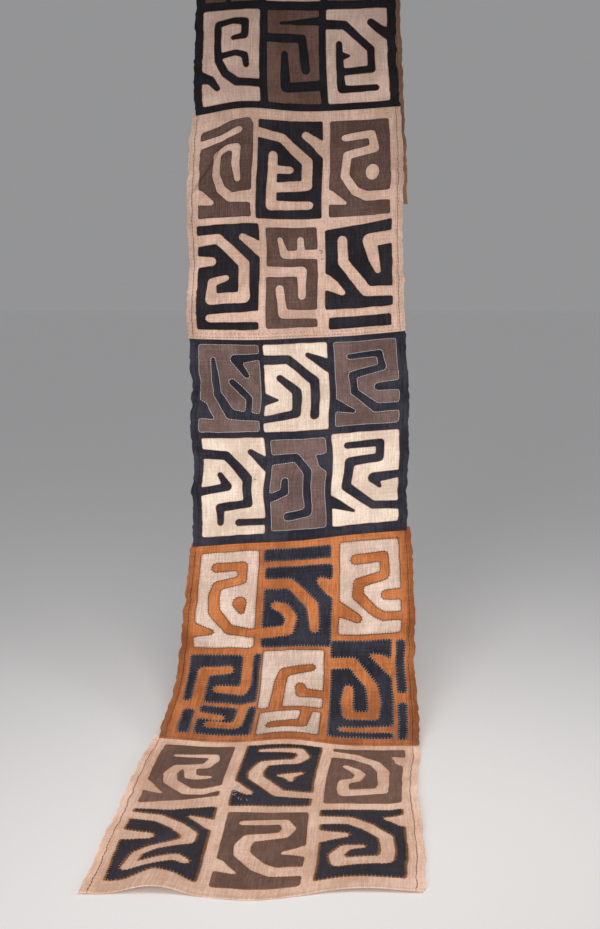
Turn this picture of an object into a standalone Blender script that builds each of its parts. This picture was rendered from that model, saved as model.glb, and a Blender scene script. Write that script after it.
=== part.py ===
"""Kuba raffia cloth: six appliqué panels sewn end to end, hung over a line and trailing on the floor.

Metres, +Z up. The origin lies under the fold at the top, halfway across: the line that the cloth hangs over.
X runs across the cloth to the right, and the front of the cloth, its face side, looks towards -Y.
A place on the cloth is given by three flat coordinates: across from the left edge, along from the front end
of the train, and out from the reverse side. drape() bends them into the hanging shape.
"""

import math

import bmesh
import bpy
import numpy as np
from mathutils import Vector

MM = 0.001

# The cloth
WIDTH = 0.560  # a loom width, hems turned in
SHEET = 0.0013  # one layer of woven raffia
HEM_WIDTH = 0.017
HEM_THICKNESS = 0.0028  # turned to the face and sewn down
PATCH_THICKNESS = 0.0011  # an appliqué piece
CHANNEL_WIDTH = 0.0235  # the ground colour that shows between the arms of a motif
SPUR_LENGTH = 0.060  # a channel shorter than this is a notch in the motif's edge
SPUR_FLARE = 1.6  # how much wider a notch is at its mouth
OVERRUN = 0.12  # a cut that leaves a piece starts this share of its size outside it
CORNER_RADIUS = 0.009  # of an appliqué piece
SEAM_LAP = 0.010  # the upper panel's end lies over the lower panel's
LAP_SLOPE = 0.008  # the length in which the upper panel comes down off the lap
HEM_STOP = 0.004  # the lower panel's hems end this far before the lap
STEP = 0.001  # a change of thickness happens over this distance
CLEARANCE = 0.0003  # between pieces that touch
LAP_CLEARANCE = 0.0005  # under a lapped end, where the two panels bend along slightly different lines
FLAT_ENOUGH = 0.0004  # a cell whose four corners are nearer than this to one plane bends as one

# How it hangs
TRAIN_LENGTH = 0.514  # flat on the floor, from the front end to the touch-down line
DROP_LENGTH = 2.3065  # from the touch-down line up to the fold, along the cloth
SAG = 0.370  # a catenary's parameter: the cloth is this tightly curved where it meets the floor
FOLD_RADIUS = 0.020  # of the reverse side, over the line it hangs on
LANDING = 0.05  # above the touch-down line, where the cloth is still too near the floor to sag

# Places where two panels meet, in millimetres from the front end, at five equal steps across.
# They run askew, because the panels were never quite square.
SEAMS = {
    "front end": (2, 4, -15, 8, 6),
    "panels 5 and 4": (606, 590, 598, 577, 575),
    "panels 4 and 3": (1139, 1148, 1154, 1171, 1183),
    "panels 3 and 2": (1701, 1699, 1703, 1710, 1723),
    "panels 2 and 1": (2320, 2342, 2333, 2338, 2347),
    "panels 1 and 0": (2958, 2958, 2958, 2958, 2958),
    "back end": (3593, 3593, 3593, 3593, 3593),
}

# The two selvedges: distance along the cloth, and how far left and right of the middle they lie there, in
# millimetres. The train drifts to the left, and the panels differ in width by a finger's breadth.
EDGES = """
  along   left  right
    -30   -369    204
     60   -360    211
    138   -358    221
    318   -348    229
    421   -343    240
    535   -335    258
    606   -324    265
    702   -303    271
    840   -290    273
    965   -288    283
   1155   -277    283
   1219   -275    280
   1283   -281    277
   1348   -274    281
   1478   -290    286
   1543   -284    288
   1609   -290    287
   1741   -304    281
   1940   -300    278
   2074   -308    278
   2207   -302    281
   2341   -294    274
   2474   -289    264
   2640   -284    262
   2958   -280    277
   3620   -249    312
"""

# How far a panel's corners lie inside the selvedge line, in millimetres, because the panels were sewn askew: at
# its lower end on the left and right, then at its upper end. A corner eases out over CORNER_EASE.
CORNER_INSETS = {
    0: (0, 0, 0, 0),
    1: (9, 0, 0, 0),
    2: (0, 0, 0, 0),
    3: (4, 9, 5, 0),
    4: (12, 2, 0, 0),
    5: (0, 0, 0, 0),
}
CORNER_EASE = 0.120

# Soft ridges and troughs of the hung cloth, in millimetres: where each is centred, how far it reaches along
# and across, how it is turned in degrees, and its height. On the floor they only rise.
RIPPLES = """
  along across reach_along reach_across turn height
      0    118         210           78    0     13
      0    465         230          120    0      7
    330    560         170           60    0      5
    470      0         150           60    0      6
    650    170         150          110    0     -4
    650    290         150          110    0      3
    900    560         230          150    0      7
   1000     20         240          150    0     -7
   1150    300         220          150    0      4
   1420    560         200          140    0     -6
   1500      0         230          150    0      6
   1700    180         180          120    0     -4
   1990    545         240          170    0      6
   2170     62         150           45   27     -5
   2240    130         170           80    8      6
   2330    400         200          150    0     -4
   2560    120         230          170    0     -5
"""

# The woven colours: base colour, roughness
COLOURS = {
    "beige": ((0.60, 0.40, 0.26), 0.85),
    "cream": ((0.82, 0.66, 0.49), 0.85),
    "brown": ((0.115, 0.070, 0.045), 0.88),
    "black": ((0.016, 0.014, 0.022), 0.85),
    "orange": ((0.47, 0.15, 0.03), 0.86),
}

# Each panel: its ground colour, its two ends, and the extra cross lines that its bends need, in millimetres
FRONT, BACK = 5, 0
PANELS = {
    0: ("beige", "panels 1 and 0", "back end", (130, 260, 390, 520)),
    1: ("black", "panels 2 and 1", "panels 1 and 0", (80, 170, 260, 360, 450, *range(482, 546, 9))),
    2: ("beige", "panels 3 and 2", "panels 2 and 1", (90, 180, 270, 360, 450, 540)),
    3: ("black", "panels 4 and 3", "panels 3 and 2", (80, 170, 260, 350, 450)),
    4: ("orange", "panels 5 and 4", "panels 4 and 3", (55, 110, 170, 230, 300, 380, 470)),
    5: ("beige", "front end", "panels 5 and 4", (45, 110, 190, 280, 380, 480)),
}
CROSS_LINES = (66, 118, 184, 240, 300, 358, 415, 475)  # along the cloth, between the hems

# The appliqué pieces: panel, place, colour, and their box in millimetres from the panel's left edge and lower
# end. The last column names the channels cut into them. An arm that stands alone is a piece of its own. The
# panels that the photograph doesn't show whole repeat motifs of the others.
MOTIFS = """
  panel place              colour left right  low high  channels
      5 lower_left         black    28   185   36  300  5_lower_left
      5 lower_middle       brown   206   356   28  282  5_lower_middle
      5 lower_right        black   376   532   36  292  5_lower_right
      5 upper_left         brown    31   180  312  568  5_upper_left
      5 upper_middle       black   202   360  306  570  5_upper_middle
      5 upper_right        brown   381   530  318  568  5_upper_right
      4 lower_left         black    27   196  127  265  4_lower_left
      4 lower_left_bar     black    35    63   24  103  uncut
      4 lower_left_foot    black    71   198   25  117  4_lower_left_foot
      4 lower_middle       cream   199   347  107  273  4_lower_middle
      4 lower_middle_foot  cream   206   345   22   97  4_lower_middle_foot
      4 lower_right        black   361   506   24  298  4_lower_right
      4 lower_right_bar    black   515   538  157  294  uncut
      4 lower_right_foot   black   514   536   21  133  uncut
      4 upper_left         cream    29   176  284  548  4_upper_left
      4 upper_middle       black   191   360  281  500  4_upper_middle
      4 upper_middle_bar   black   187   357  514  550  uncut
      4 upper_right        cream   376   528  312  552  4_upper_right
      3 lower_left         cream    24   188   20  280  3_lower_left
      3 lower_middle       brown   203   346   27  271  3_lower_middle
      3 lower_right        cream   361   537   24  278  3_lower_right
      3 upper_left         brown    22   178  295  533  3_upper_left
      3 upper_middle       cream   188   356  292  533  3_upper_middle
      3 upper_right        brown   372   535  297  530  3_upper_right
      2 lower_left         black    24   186   24  314  2_lower_left
      2 lower_middle       brown   203   337   27  303  2_lower_middle
      2 lower_right        black   356   532   72  314  2_lower_right
      2 lower_right_bar    black   364   526   18   52  uncut
      2 upper_left         brown    29   166  332  600  2_upper_left
      2 upper_middle       black   178   351  326  600  2_upper_middle
      2 upper_right        brown   369   527  328  597  2_upper_right
      1 lower_left         cream    22   180   17  278  1_lower_left
      1 lower_middle       brown   200   346   17  277  1_lower_middle
      1 lower_right        cream   364   536   16  278  1_lower_right
      1 upper_left         brown    24   180  300  590  3_upper_left
      1 upper_middle       cream   192   350  300  590  5_lower_middle
      1 upper_right        brown   366   534  300  590  1_lower_right
      0 lower_left         black    26   182   30  300  5_lower_right
      0 lower_middle       brown   200   350   30  300  4_upper_right
      0 lower_right        black   368   532   30  300  2_lower_left
      0 upper_left         brown    26   182  320  600  3_upper_right
      0 upper_middle       black   200   350  320  600  5_upper_right
      0 upper_right        brown   368   532  320  600  3_lower_right
"""

# The channels, charted by hand. Each is a run of points in hundredths of the piece, from its left and top, and
# a stroke parts it from the next. A hole is an oval, given by its centre and its two radii.
CHANNELS = {
    "uncut": "",
    "5_lower_left": "0,14 35,18 76,42 78,55 30,68 20,85 80,80 / 0,42 40,43 / 100,25 75,13",
    "5_lower_middle": "22,15 77,14 78,33 28,37 26,55 66,82 100,82 / 100,56 75,57 / 0,72 25,84",
    "5_lower_right": "0,14 48,17 78,50 78,80 22,82 25,64 50,60 / 0,42 28,42 / 100,25 78,13",
    "5_upper_left": "25,15 75,17 72,36 30,42 30,70 60,85 100,75 / 52,42 56,55 78,56 / 0,72 24,85",
    "5_upper_middle": "20,9 78,10 76,27 26,31 22,50 58,82 100,85 / hole 72,52 15,8 / 0,68 22,80",
    "5_upper_right": "0,10 35,14 74,46 74,80 20,83 20,65 42,55 25,36 / 100,20 85,12",
    "4_lower_left": "20,100 24,33 57,29 / 81,0 80,70 43,69",
    "4_lower_left_foot": "0,33 45,35 / 77,0 72,72 25,72",
    "4_lower_middle": "27,100 32,40 80,30 / 64,62 68,76 100,76",
    "4_lower_middle_foot": "76,0 72,55 22,60",
    "4_lower_right": "0,21 38,21 66,42 70,72 27,74 25,47 / 100,27 72,16 / 100,88 24,88",
    "4_upper_left": "28,15 72,15 72,31 30,36 30,60 68,84 100,86 / hole 72,56 11,8 / 0,80 27,85",
    "4_upper_middle": "0,20 40,20 76,48 75,80 / 20,48 40,60 40,80 0,82 / 100,33 80,21",
    "4_upper_right": "28,19 71,18 70,40 30,42 30,57 74,83 100,82 / 100,59 74,59 / 0,73 28,84",
    "3_lower_left": "0,15 39,17 73,43 75,68 28,70 28,86 / 27,37 42,50 0,53 / 100,27 76,15 / 100,86 56,86",
    "3_lower_middle": "0,20 46,21 68,40 69,81 29,84 / 26,43 27,60 0,64 / 100,27 87,19",
    "3_lower_right": "23,14 72,14 71,30 26,32 22,58 61,81 100,82 / 100,49 58,49 70,60 / 0,74 29,85",
    "3_upper_left": "23,17 26,55 52,80 100,83 / 100,14 60,17 78,34 / 53,43 80,62 80,79 / 0,73 23,84",
    "3_upper_middle": "0,18 40,19 77,45 79,84 / 24,40 50,55 49,81 0,85 / 0,65 20,65 / 100,28 69,14",
    "3_upper_right": "24,18 68,17 70,34 27,40 28,61 63,81 100,81 / 100,56 68,56 / 0,75 26,84",
    "2_lower_left": "0,15 34,15 74,38 76,69 23,72 22,55 46,52 / 0,35 24,35 / 100,26 72,13 / 100,87 21,88",
    "2_lower_middle": "100,26 32,26 27,12 / 67,26 67,12 / 0,45 67,45 70,69 / 100,86 32,86 27,62",
    "2_lower_right": "26,21 27,49 63,83 100,83 / 100,21 64,21 76,59 / 0,66 25,80",
    "2_upper_left": "0,19 27,16 75,11 / 73,62 67,52 67,29 46,30 30,35 28,60 52,80 100,83 / 0,74 20,83",
    "2_upper_middle": "0,15 35,17 78,42 78,69 24,70 / 24,36 24,87 82,88 / 24,50 50,50 / 98,36 70,18",
    "2_upper_right": "23,17 72,15 74,29 28,38 21,59 39,75 64,82 100,80 / hole 69,55 11,7 / 0,75 25,86",
    "1_lower_left": "51,30 73,29 73,14 52,11 23,16 25,54 55,75 100,80 / 30,49 66,46 74,60 / 0,71 18,75 28,84",
    "1_lower_middle": "100,11 25,14 / 0,30 69,30 72,65 / 100,83 34,83 34,47",
    "1_lower_right": "0,16 36,17 72,45 73,66 23,67 / 23,37 23,85 80,85 / 23,51 40,51 / 100,32 72,16",
}


def read_columns(text):
    """The rows of a table of numbers, without the line that names its columns."""
    return np.array([[float(word) for word in line.split()] for line in text.strip().splitlines()[1:]])


def smooth(stations, values, at):
    """A curve through the values at these stations, read at one place, with slopes set by its neighbours."""
    slopes = np.gradient(values, stations)
    k = int(np.clip(np.searchsorted(stations, at) - 1, 0, len(stations) - 2))
    span = stations[k + 1] - stations[k]
    t = (at - stations[k]) / span
    start = values[k] * (1 + 2 * t) * (1 - t) ** 2 + slopes[k] * span * t * (1 - t) ** 2
    return start + values[k + 1] * (3 - 2 * t) * t * t + slopes[k + 1] * span * (t - 1) * t * t


# The shape of the hang, seen from the side: it follows from the dimensions above

FOLD_START = math.atan2(DROP_LENGTH, SAG)  # how steeply the cloth arrives at the fold
FOLD_LENGTH = FOLD_RADIUS * (FOLD_START + math.pi / 2)
FOLD_START_Y = -FOLD_RADIUS * math.sin(FOLD_START)
FOLD_START_Z = FOLD_RADIUS * (math.cos(FOLD_START) - 1)
FLOOR_Z = FOLD_START_Z - (math.hypot(DROP_LENGTH, SAG) - SAG)
TOUCH_DOWN_Y = FOLD_START_Y - SAG * math.asinh(DROP_LENGTH / SAG)


def profile(along):
    """Depth, height and slope of the reverse side at a distance from the front end."""
    rising = along - TRAIN_LENGTH
    if rising <= 0:
        return TOUCH_DOWN_Y + rising, FLOOR_Z, 0.0
    if rising <= DROP_LENGTH:
        height = math.hypot(rising, SAG) - SAG
        return TOUCH_DOWN_Y + SAG * math.asinh(rising / SAG), FLOOR_Z + height, math.atan2(rising, SAG)
    turned = rising - DROP_LENGTH
    slope = max(FOLD_START - turned / FOLD_RADIUS, -math.pi / 2)
    fallen = max(turned - FOLD_LENGTH, 0)
    return -FOLD_RADIUS * math.sin(slope), FOLD_RADIUS * (math.cos(slope) - 1) - fallen, slope


def edge_places(along, table=read_columns(EDGES)):
    """How far from the middle the left and right selvedges lie."""
    stations, left, right = table.T
    return smooth(stations, left, along / MM) * MM, smooth(stations, right, along / MM) * MM


def ripple_height(across, along, table=read_columns(RIPPLES)):
    """How far the soft ridges and troughs lift the cloth off its plain shape."""
    height = 0.0
    for centre_along, centre_across, reach_along, reach_across, turn, rise in table:
        cosine, sine = math.cos(math.radians(turn)), math.sin(math.radians(turn))
        up, side = along / MM - centre_along, across / MM - centre_across
        turned = (up * cosine - side * sine) / reach_along, (up * sine + side * cosine) / reach_across
        distance = math.hypot(*turned)
        height += rise * MM * max(1 - distance**2, 0) ** 2
    return max(height, 0.0) if along < TRAIN_LENGTH + LANDING else height


class PanelPlaces:
    """Bends one panel's flat coordinates into the hanging shape.

    Its places are worked out on a grid of lines and are straight between them, so that the panel and the
    appliqué on it bend along the same lines and stay the same distance apart.
    """

    def __init__(self, number):
        _, low_seam, high_seam, inner_lines = PANELS[number]
        self.low, self.high = SEAMS[low_seam], SEAMS[high_seam]
        self.insets = np.array(CORNER_INSETS[number]) * MM
        self.length = (np.mean(self.high) - np.mean(self.low)) * MM
        first = [0.0] if number == FRONT else [-SEAM_LAP, STEP, STEP + LAP_SLOPE]
        hem_end = self.length - SEAM_LAP - HEM_STOP
        last = [self.length] if number == BACK else [hem_end, hem_end + STEP, self.length]
        self.along_lines = np.array([*first, *(x * MM for x in inner_lines), *last])
        hem = np.array((0, HEM_WIDTH, HEM_WIDTH + STEP))
        self.across_lines = np.concatenate((hem, np.array(CROSS_LINES) * MM, WIDTH - hem[::-1]))
        grid = [[self.place(u, v) for v in self.along_lines] for u in self.across_lines]
        self.points, self.normals = (np.array([[node[k] for node in line] for line in grid]) for k in (0, 1))

    def place(self, across, along):
        """The point on the reverse side, and the direction out of the face."""
        share = across / WIDTH
        steps = np.linspace(0, 1, 5)
        ends = [smooth(steps, np.array(seam, float), share) * MM for seam in (self.low, self.high)]
        run = ends[0] + (ends[1] - ends[0]) * along / self.length
        depth, height, slope = profile(run)
        left, right = edge_places(run)
        near_end = np.array([max(1 - abs(along - end) / CORNER_EASE, 0) ** 2 for end in (0, self.length)])
        inset_left, inset_right = (near_end @ self.insets[k::2] for k in (0, 1))
        sideways = (left + inset_left) * (1 - share) + (right - inset_right) * share
        lift = ripple_height((sideways - left) / (right - left) * WIDTH, run)
        normal = np.array((0, -math.sin(slope), math.cos(slope)))
        return np.array((sideways, depth, height)) + normal * lift, normal

    def drape(self, flat):
        """A flat point (across, along, out) in its place in the hanging cloth."""
        i, j = (
            int(np.clip(np.searchsorted(lines, x) - 1, 0, len(lines) - 2))
            for lines, x in zip((self.across_lines, self.along_lines), flat)
        )
        a = (flat[0] - self.across_lines[i]) / (self.across_lines[i + 1] - self.across_lines[i])
        b = (flat[1] - self.along_lines[j]) / (self.along_lines[j + 1] - self.along_lines[j])
        side = (i + 1, j) if a > b else (i, j + 1)
        shares = ((i, j), 1 - max(a, b)), (side, abs(a - b)), ((i + 1, j + 1), min(a, b))
        return Vector(sum(share * (self.points[at] + self.normals[at] * flat[2]) for at, share in shares))

    def twisted_cells(self):
        """Cells whose four corners aren't in one plane: what lies on them also bends along a diagonal."""
        for i in range(len(self.across_lines) - 1):
            for j in range(len(self.along_lines) - 1):
                p = self.points[i : i + 2, j : j + 2]
                twist = np.dot(p[0, 0] + p[1, 1] - p[0, 1] - p[1, 0], self.normals[i, j])
                if abs(twist) > FLAT_ENOUGH:
                    yield self.across_lines[i : i + 2], self.along_lines[j : j + 2]


def panel_blank(number, places):
    """A panel laid flat: one woven layer with thicker hems, its lower end raised over the next panel."""
    across_lines, along_lines = places.across_lines, places.along_lines
    raised = SHEET + LAP_CLEARANCE
    hem_stops = places.length if number == BACK else places.length - SEAM_LAP - HEM_STOP + STEP / 2

    def out(across, along, face):
        lift = raised if number != FRONT and along < STEP + LAP_SLOPE / 2 else 0.0
        if not face:
            return lift
        in_hem = min(across, WIDTH - across) < HEM_WIDTH + STEP / 2 and along <= hem_stops
        return lift + (HEM_THICKNESS if in_hem else SHEET)

    bm = bmesh.new()
    sides = [
        [[bm.verts.new((u, v, out(u, v, face))) for v in along_lines] for u in across_lines]
        for face in (False, True)
    ]
    for grid, turned in zip(sides, (True, False)):
        for i in range(len(across_lines) - 1):
            for j in range(len(along_lines) - 1):
                low, right, far, up = grid[i][j], grid[i + 1][j], grid[i + 1][j + 1], grid[i][j + 1]
                for corners in ((low, right, far), (low, far, up)):
                    bm.faces.new(reversed(corners) if turned else corners)
    reverse, face = sides
    rims = [
        [(column, 0) for column in range(len(across_lines))],
        [(len(across_lines) - 1, line) for line in range(len(along_lines))],
        [(column, len(along_lines) - 1) for column in reversed(range(len(across_lines)))],
        [(0, line) for line in reversed(range(len(along_lines)))],
    ]
    for rim in rims:
        for (i, j), (k, m) in zip(rim, rim[1:]):
            bm.faces.new((reverse[i][j], reverse[k][m], face[k][m], face[i][j]))
    return bm


def rounded_box(left, right, low, high, radius, steps=2):
    """The outline of an appliqué piece before its channels are cut."""
    outline = []
    centres = ((right, high, -1, -1), (left, high, 1, -1), (left, low, 1, 1), (right, low, -1, 1))
    for quarter, (x, y, in_x, in_y) in enumerate(centres):
        for step in range(steps + 1):
            angle = (quarter + step / steps) * math.pi / 2
            outline.append((x + radius * (in_x + math.cos(angle)), y + radius * (in_y + math.sin(angle))))
    return outline


def oval(x, y, reach_x, reach_y, steps=8):
    angles = [2 * math.pi * step / steps for step in range(steps)]
    return [(x + reach_x * math.cos(angle), y + reach_y * math.sin(angle)) for angle in angles]


def channel_outline(run, halves, open_start, open_end, tip_steps=3, least_mitre=0.6):
    """The outline of a channel: its run of points widened, and round where it ends inside the piece."""
    run = [Vector(point) for point in run]
    ways = [(b - a).normalized() for a, b in zip(run, run[1:])]
    ways = [ways[0], *ways, ways[-1]]
    sides = []
    for point, half, before, after in zip(run, halves, ways, ways[1:]):
        across = Vector((-(before + after).y, (before + after).x)).normalized()
        reach = half / max(across.dot(Vector((-after.y, after.x))), least_mitre)
        sides.append((point + across * reach, point - across * reach))

    def tip(centre, way, half):
        start = math.atan2(way.y, way.x) - math.pi / 2
        angles = [start + math.pi * step / tip_steps for step in range(1, tip_steps)]
        return [centre + half * Vector((math.cos(angle), math.sin(angle))) for angle in angles]

    right, left = [b for _, b in sides], [a for a, _ in sides]
    end = [] if open_end else tip(run[-1], ways[-1], halves[-1])
    start = [] if open_start else tip(run[0], -ways[0], halves[0])
    return [*right, *end, *reversed(left), *start]


def prism(outline, low, high):
    """A closed solid of this outline between two levels, as a new object."""
    bm = bmesh.new()
    base = bm.faces.new([bm.verts.new((x, y, low)) for x, y in outline])
    raised = bmesh.ops.extrude_face_region(bm, geom=[base])["geom"]
    top = [element for element in raised if isinstance(element, bmesh.types.BMVert)]
    bmesh.ops.translate(bm, vec=(0, 0, high - low), verts=top)
    bmesh.ops.recalc_face_normals(bm, faces=bm.faces)
    return new_object("blank", bm)


def new_object(name, bm):
    mesh = bpy.data.meshes.new(name)
    bm.to_mesh(mesh)
    bm.free()
    made = bpy.data.objects.new(name, mesh)
    bpy.context.collection.objects.link(made)
    return made


def channels_of(words, left, right, low, high):
    """The outlines cut out of a piece, in metres, from its row in the chart."""
    wide, tall = right - left, high - low
    for run in filter(None, (part.strip() for part in words.split("/"))):
        pairs = [[float(x) / 100 for x in pair.split(",")] for pair in run.replace("hole", "").split()]
        if run.startswith("hole"):
            (x, y), (reach_x, reach_y) = pairs
            yield oval(left + x * wide, high - y * tall, reach_x * wide, reach_y * tall)
            continue
        ends = [any(x in (0, 1) for x in pairs[k]) for k in (0, -1)]
        for k, at_edge in zip((0, -1), ends):
            if at_edge:  # it starts outside, so that it cuts clean through the edge
                pairs[k] = [x + {0: -OVERRUN, 1: OVERRUN}.get(x, 0) for x in pairs[k]]
        points = [(left + x * wide, high - y * tall) for x, y in pairs]
        halves = [CHANNEL_WIDTH / 2] * len(points)
        if len(points) == 2 and math.dist(*points) < SPUR_LENGTH:
            halves = [half * SPUR_FLARE if at_edge else half for half, at_edge in zip(halves, ends)]
        yield channel_outline(points, halves, *ends)


def cut_piece(words, left, right, low, high):
    """An appliqué piece laid flat: a rounded oblong less its channels."""
    face = SHEET + CLEARANCE + PATCH_THICKNESS
    piece = prism(rounded_box(left, right, low, high, CORNER_RADIUS), SHEET + CLEARANCE, face)
    cutters = [prism(outline, 0, face + SHEET) for outline in channels_of(words, left, right, low, high)]
    for cutter in cutters:
        piece.modifiers.new("channel", "BOOLEAN").object = cutter
    bpy.context.view_layer.update()
    bm = bmesh.new()
    bm.from_object(piece, bpy.context.evaluated_depsgraph_get())
    for used in [piece, *cutters]:
        bpy.data.objects.remove(used)
    return bm


def slice_along(bm, places):
    """Adds the lines along which the panel bends, so that the piece bends with it."""

    def cut(elements, point, normal, weld=1e-6):
        bmesh.ops.bisect_plane(bm, geom=elements, dist=weld, plane_co=point, plane_no=normal)

    for lines, normal in ((places.across_lines, (1, 0, 0)), (places.along_lines, (0, 1, 0))):
        for line in lines:
            cut([*bm.verts, *bm.edges, *bm.faces], Vector(normal) * line, normal)
    for (left, right), (low, high) in places.twisted_cells():
        inside = [
            face
            for face in bm.faces
            if left < face.calc_center_median().x < right and low < face.calc_center_median().y < high
        ]
        edges = {edge for face in inside for edge in face.edges}
        verts = {vert for face in inside for vert in face.verts}
        cut([*verts, *edges, *inside], (left, low, 0), (high - low, left - right, 0))


def build_motif(row, places, materials):
    number, place, colour, *box, channels = row.split()
    bm = cut_piece(CHANNELS[channels], *(float(x) * MM for x in box))
    slice_along(bm, places[int(number)])
    finish_piece(f"motif_{number}_{place}", bm, places[int(number)], materials[colour])


def finish_piece(name, bm, places, material):
    """Drapes a flat blank and makes it an object."""
    bmesh.ops.triangulate(bm, faces=bm.faces)
    for vert in bm.verts:
        vert.co = places.drape(vert.co)
    bmesh.ops.recalc_face_normals(bm, faces=bm.faces)
    new_object(name, bm).data.materials.append(material)


def woven(name, colour, roughness):
    material = bpy.data.materials.new(f"raffia_{name}")
    material.use_nodes = True
    shader = material.node_tree.nodes["Principled BSDF"]
    shader.inputs["Base Color"].default_value = (*colour, 1)
    shader.inputs["Roughness"].default_value = roughness
    return material


def main():
    for startup_object in list(bpy.data.objects):
        bpy.data.objects.remove(startup_object)
    materials = {name: woven(name, *look) for name, look in COLOURS.items()}
    places = {number: PanelPlaces(number) for number in PANELS}
    for number, (colour, *_) in PANELS.items():
        blank = panel_blank(number, places[number])
        finish_piece(f"panel_{number}", blank, places[number], materials[colour])
    for row in MOTIFS.strip().splitlines()[1:]:
        build_motif(row, places, materials)


main()
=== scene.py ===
# %% [markdown]
# # A Kuba raffia cloth
#
# Six panels of hand-woven raffia are sewn end to end into one long cloth. Each carries six hooked motifs,
# cut from raffia of another colour, turned under at the edges and sewn on. The cloth hangs from a fold at
# its top, falls in front, curves forward where it meets the floor and ends in a short train.
#
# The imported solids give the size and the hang. This script dresses them: every panel and every motif is
# made again as a fine mesh that follows the same curves, then sewn with real stitches and given a woven
# surface. Everything is first made flat, as the cloth lay on the maker's lap, and is then bent into the
# hang by one function. That keeps the motifs on their panels, whatever the folds do.

import math

import bmesh
import bpy
import numpy as np
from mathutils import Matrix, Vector
from mathutils.geometry import delaunay_2d_cdt


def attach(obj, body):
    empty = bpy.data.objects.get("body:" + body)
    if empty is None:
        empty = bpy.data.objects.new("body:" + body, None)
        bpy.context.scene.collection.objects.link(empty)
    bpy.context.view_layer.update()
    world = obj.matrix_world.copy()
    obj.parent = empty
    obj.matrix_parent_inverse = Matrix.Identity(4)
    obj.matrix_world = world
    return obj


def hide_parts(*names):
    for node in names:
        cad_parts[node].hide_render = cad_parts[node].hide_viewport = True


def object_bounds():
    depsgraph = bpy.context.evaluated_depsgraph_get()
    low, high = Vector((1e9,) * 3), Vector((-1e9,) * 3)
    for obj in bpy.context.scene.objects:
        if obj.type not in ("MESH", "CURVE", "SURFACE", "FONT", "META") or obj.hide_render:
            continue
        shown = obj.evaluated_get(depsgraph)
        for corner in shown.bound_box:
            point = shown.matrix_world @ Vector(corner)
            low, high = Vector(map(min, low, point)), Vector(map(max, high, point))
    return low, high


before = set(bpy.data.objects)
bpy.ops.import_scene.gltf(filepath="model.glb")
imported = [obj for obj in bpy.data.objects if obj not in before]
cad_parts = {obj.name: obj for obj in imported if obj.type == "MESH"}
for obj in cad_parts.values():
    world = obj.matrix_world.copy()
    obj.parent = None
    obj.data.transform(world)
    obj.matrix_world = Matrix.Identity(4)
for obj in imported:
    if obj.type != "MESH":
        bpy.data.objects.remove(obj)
cad_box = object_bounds()
MM = 0.001
print("solids:", len(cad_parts), "box:", [round(x, 3) for corner in cad_box for x in corner])

# %% [markdown]
# ## How the cloth hangs
#
# Seen from the side, the cloth is a flat train, then a catenary up to the line it hangs over, then a
# small half circle and a straight fall behind. Three lengths and two radii are enough to draw it. Across,
# the two selvedges wander, because the panels were never quite the same width, and the seams between
# panels run askew.

# %% The sizes of the cloth, in metres
WIDTH = 0.560
SHEET = 0.0013
HEM_WIDTH = 0.017
HEM_THICKNESS = 0.0028
LAP_BELOW = 0.002  # an upper panel's end hangs this far past the seam
LAP_ABOVE = 0.008  # and the lower panel runs on under it this far
LAP_LIFT = 0.0018
LAP_SLOPE = 0.008
TRAIN_LENGTH = 0.514
DROP_LENGTH = 2.3065
SAG = 0.370
FOLD_RADIUS = 0.020
LANDING = 0.05
CORNER_EASE = 0.120
FRONT, BACK = 5, 0
print("woven", WIDTH, "m wide;", round(TRAIN_LENGTH + DROP_LENGTH, 3), "m from the front end to the fold")

# %% The seams and the panels between them
SEAMS = {  # millimetres from the front end, at five equal steps across
    "front end": (2, 4, -15, 8, 6),
    "panels 5 and 4": (606, 590, 598, 577, 575),
    "panels 4 and 3": (1139, 1148, 1154, 1171, 1183),
    "panels 3 and 2": (1701, 1699, 1703, 1710, 1723),
    "panels 2 and 1": (2320, 2342, 2333, 2338, 2347),
    "panels 1 and 0": (2958, 2958, 2958, 2958, 2958),
    "back end": (3593, 3593, 3593, 3593, 3593),
}
PANELS = {  # ground colour, lower and upper end, how far the four corners are drawn in, in millimetres
    0: ("beige", "panels 1 and 0", "back end", (0, 0, 0, 0)),
    1: ("black", "panels 2 and 1", "panels 1 and 0", (9, 0, 0, 0)),
    2: ("beige", "panels 3 and 2", "panels 2 and 1", (0, 0, 0, 0)),
    3: ("black", "panels 4 and 3", "panels 3 and 2", (4, 9, 5, 0)),
    4: ("orange", "panels 5 and 4", "panels 4 and 3", (12, 2, 0, 0)),
    5: ("beige", "front end", "panels 5 and 4", (0, 0, 0, 0)),
}
print("panels:", {number: words[0] for number, words in PANELS.items()})

# %% The selvedges: places sideways, in millimetres, at a distance from the front end
EDGES = """
  along   left  right
    -30   -369    204
     60   -360    211
    138   -358    221
    318   -348    229
    421   -343    240
    535   -335    258
    606   -324    265
    702   -303    271
    840   -290    273
    965   -288    283
   1155   -277    283
   1219   -275    280
   1283   -281    277
   1348   -274    281
   1478   -290    286
   1543   -284    288
   1609   -290    287
   1741   -304    281
   1940   -300    278
   2074   -308    278
   2207   -302    281
   2341   -294    274
   2474   -289    264
   2640   -284    262
   2958   -280    277
   3620   -249    312
"""


def read_columns(text):
    """The rows of a table of numbers, without the line that names its columns."""
    return np.array([[float(word) for word in line.split()] for line in text.strip().splitlines()[1:]])


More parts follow.
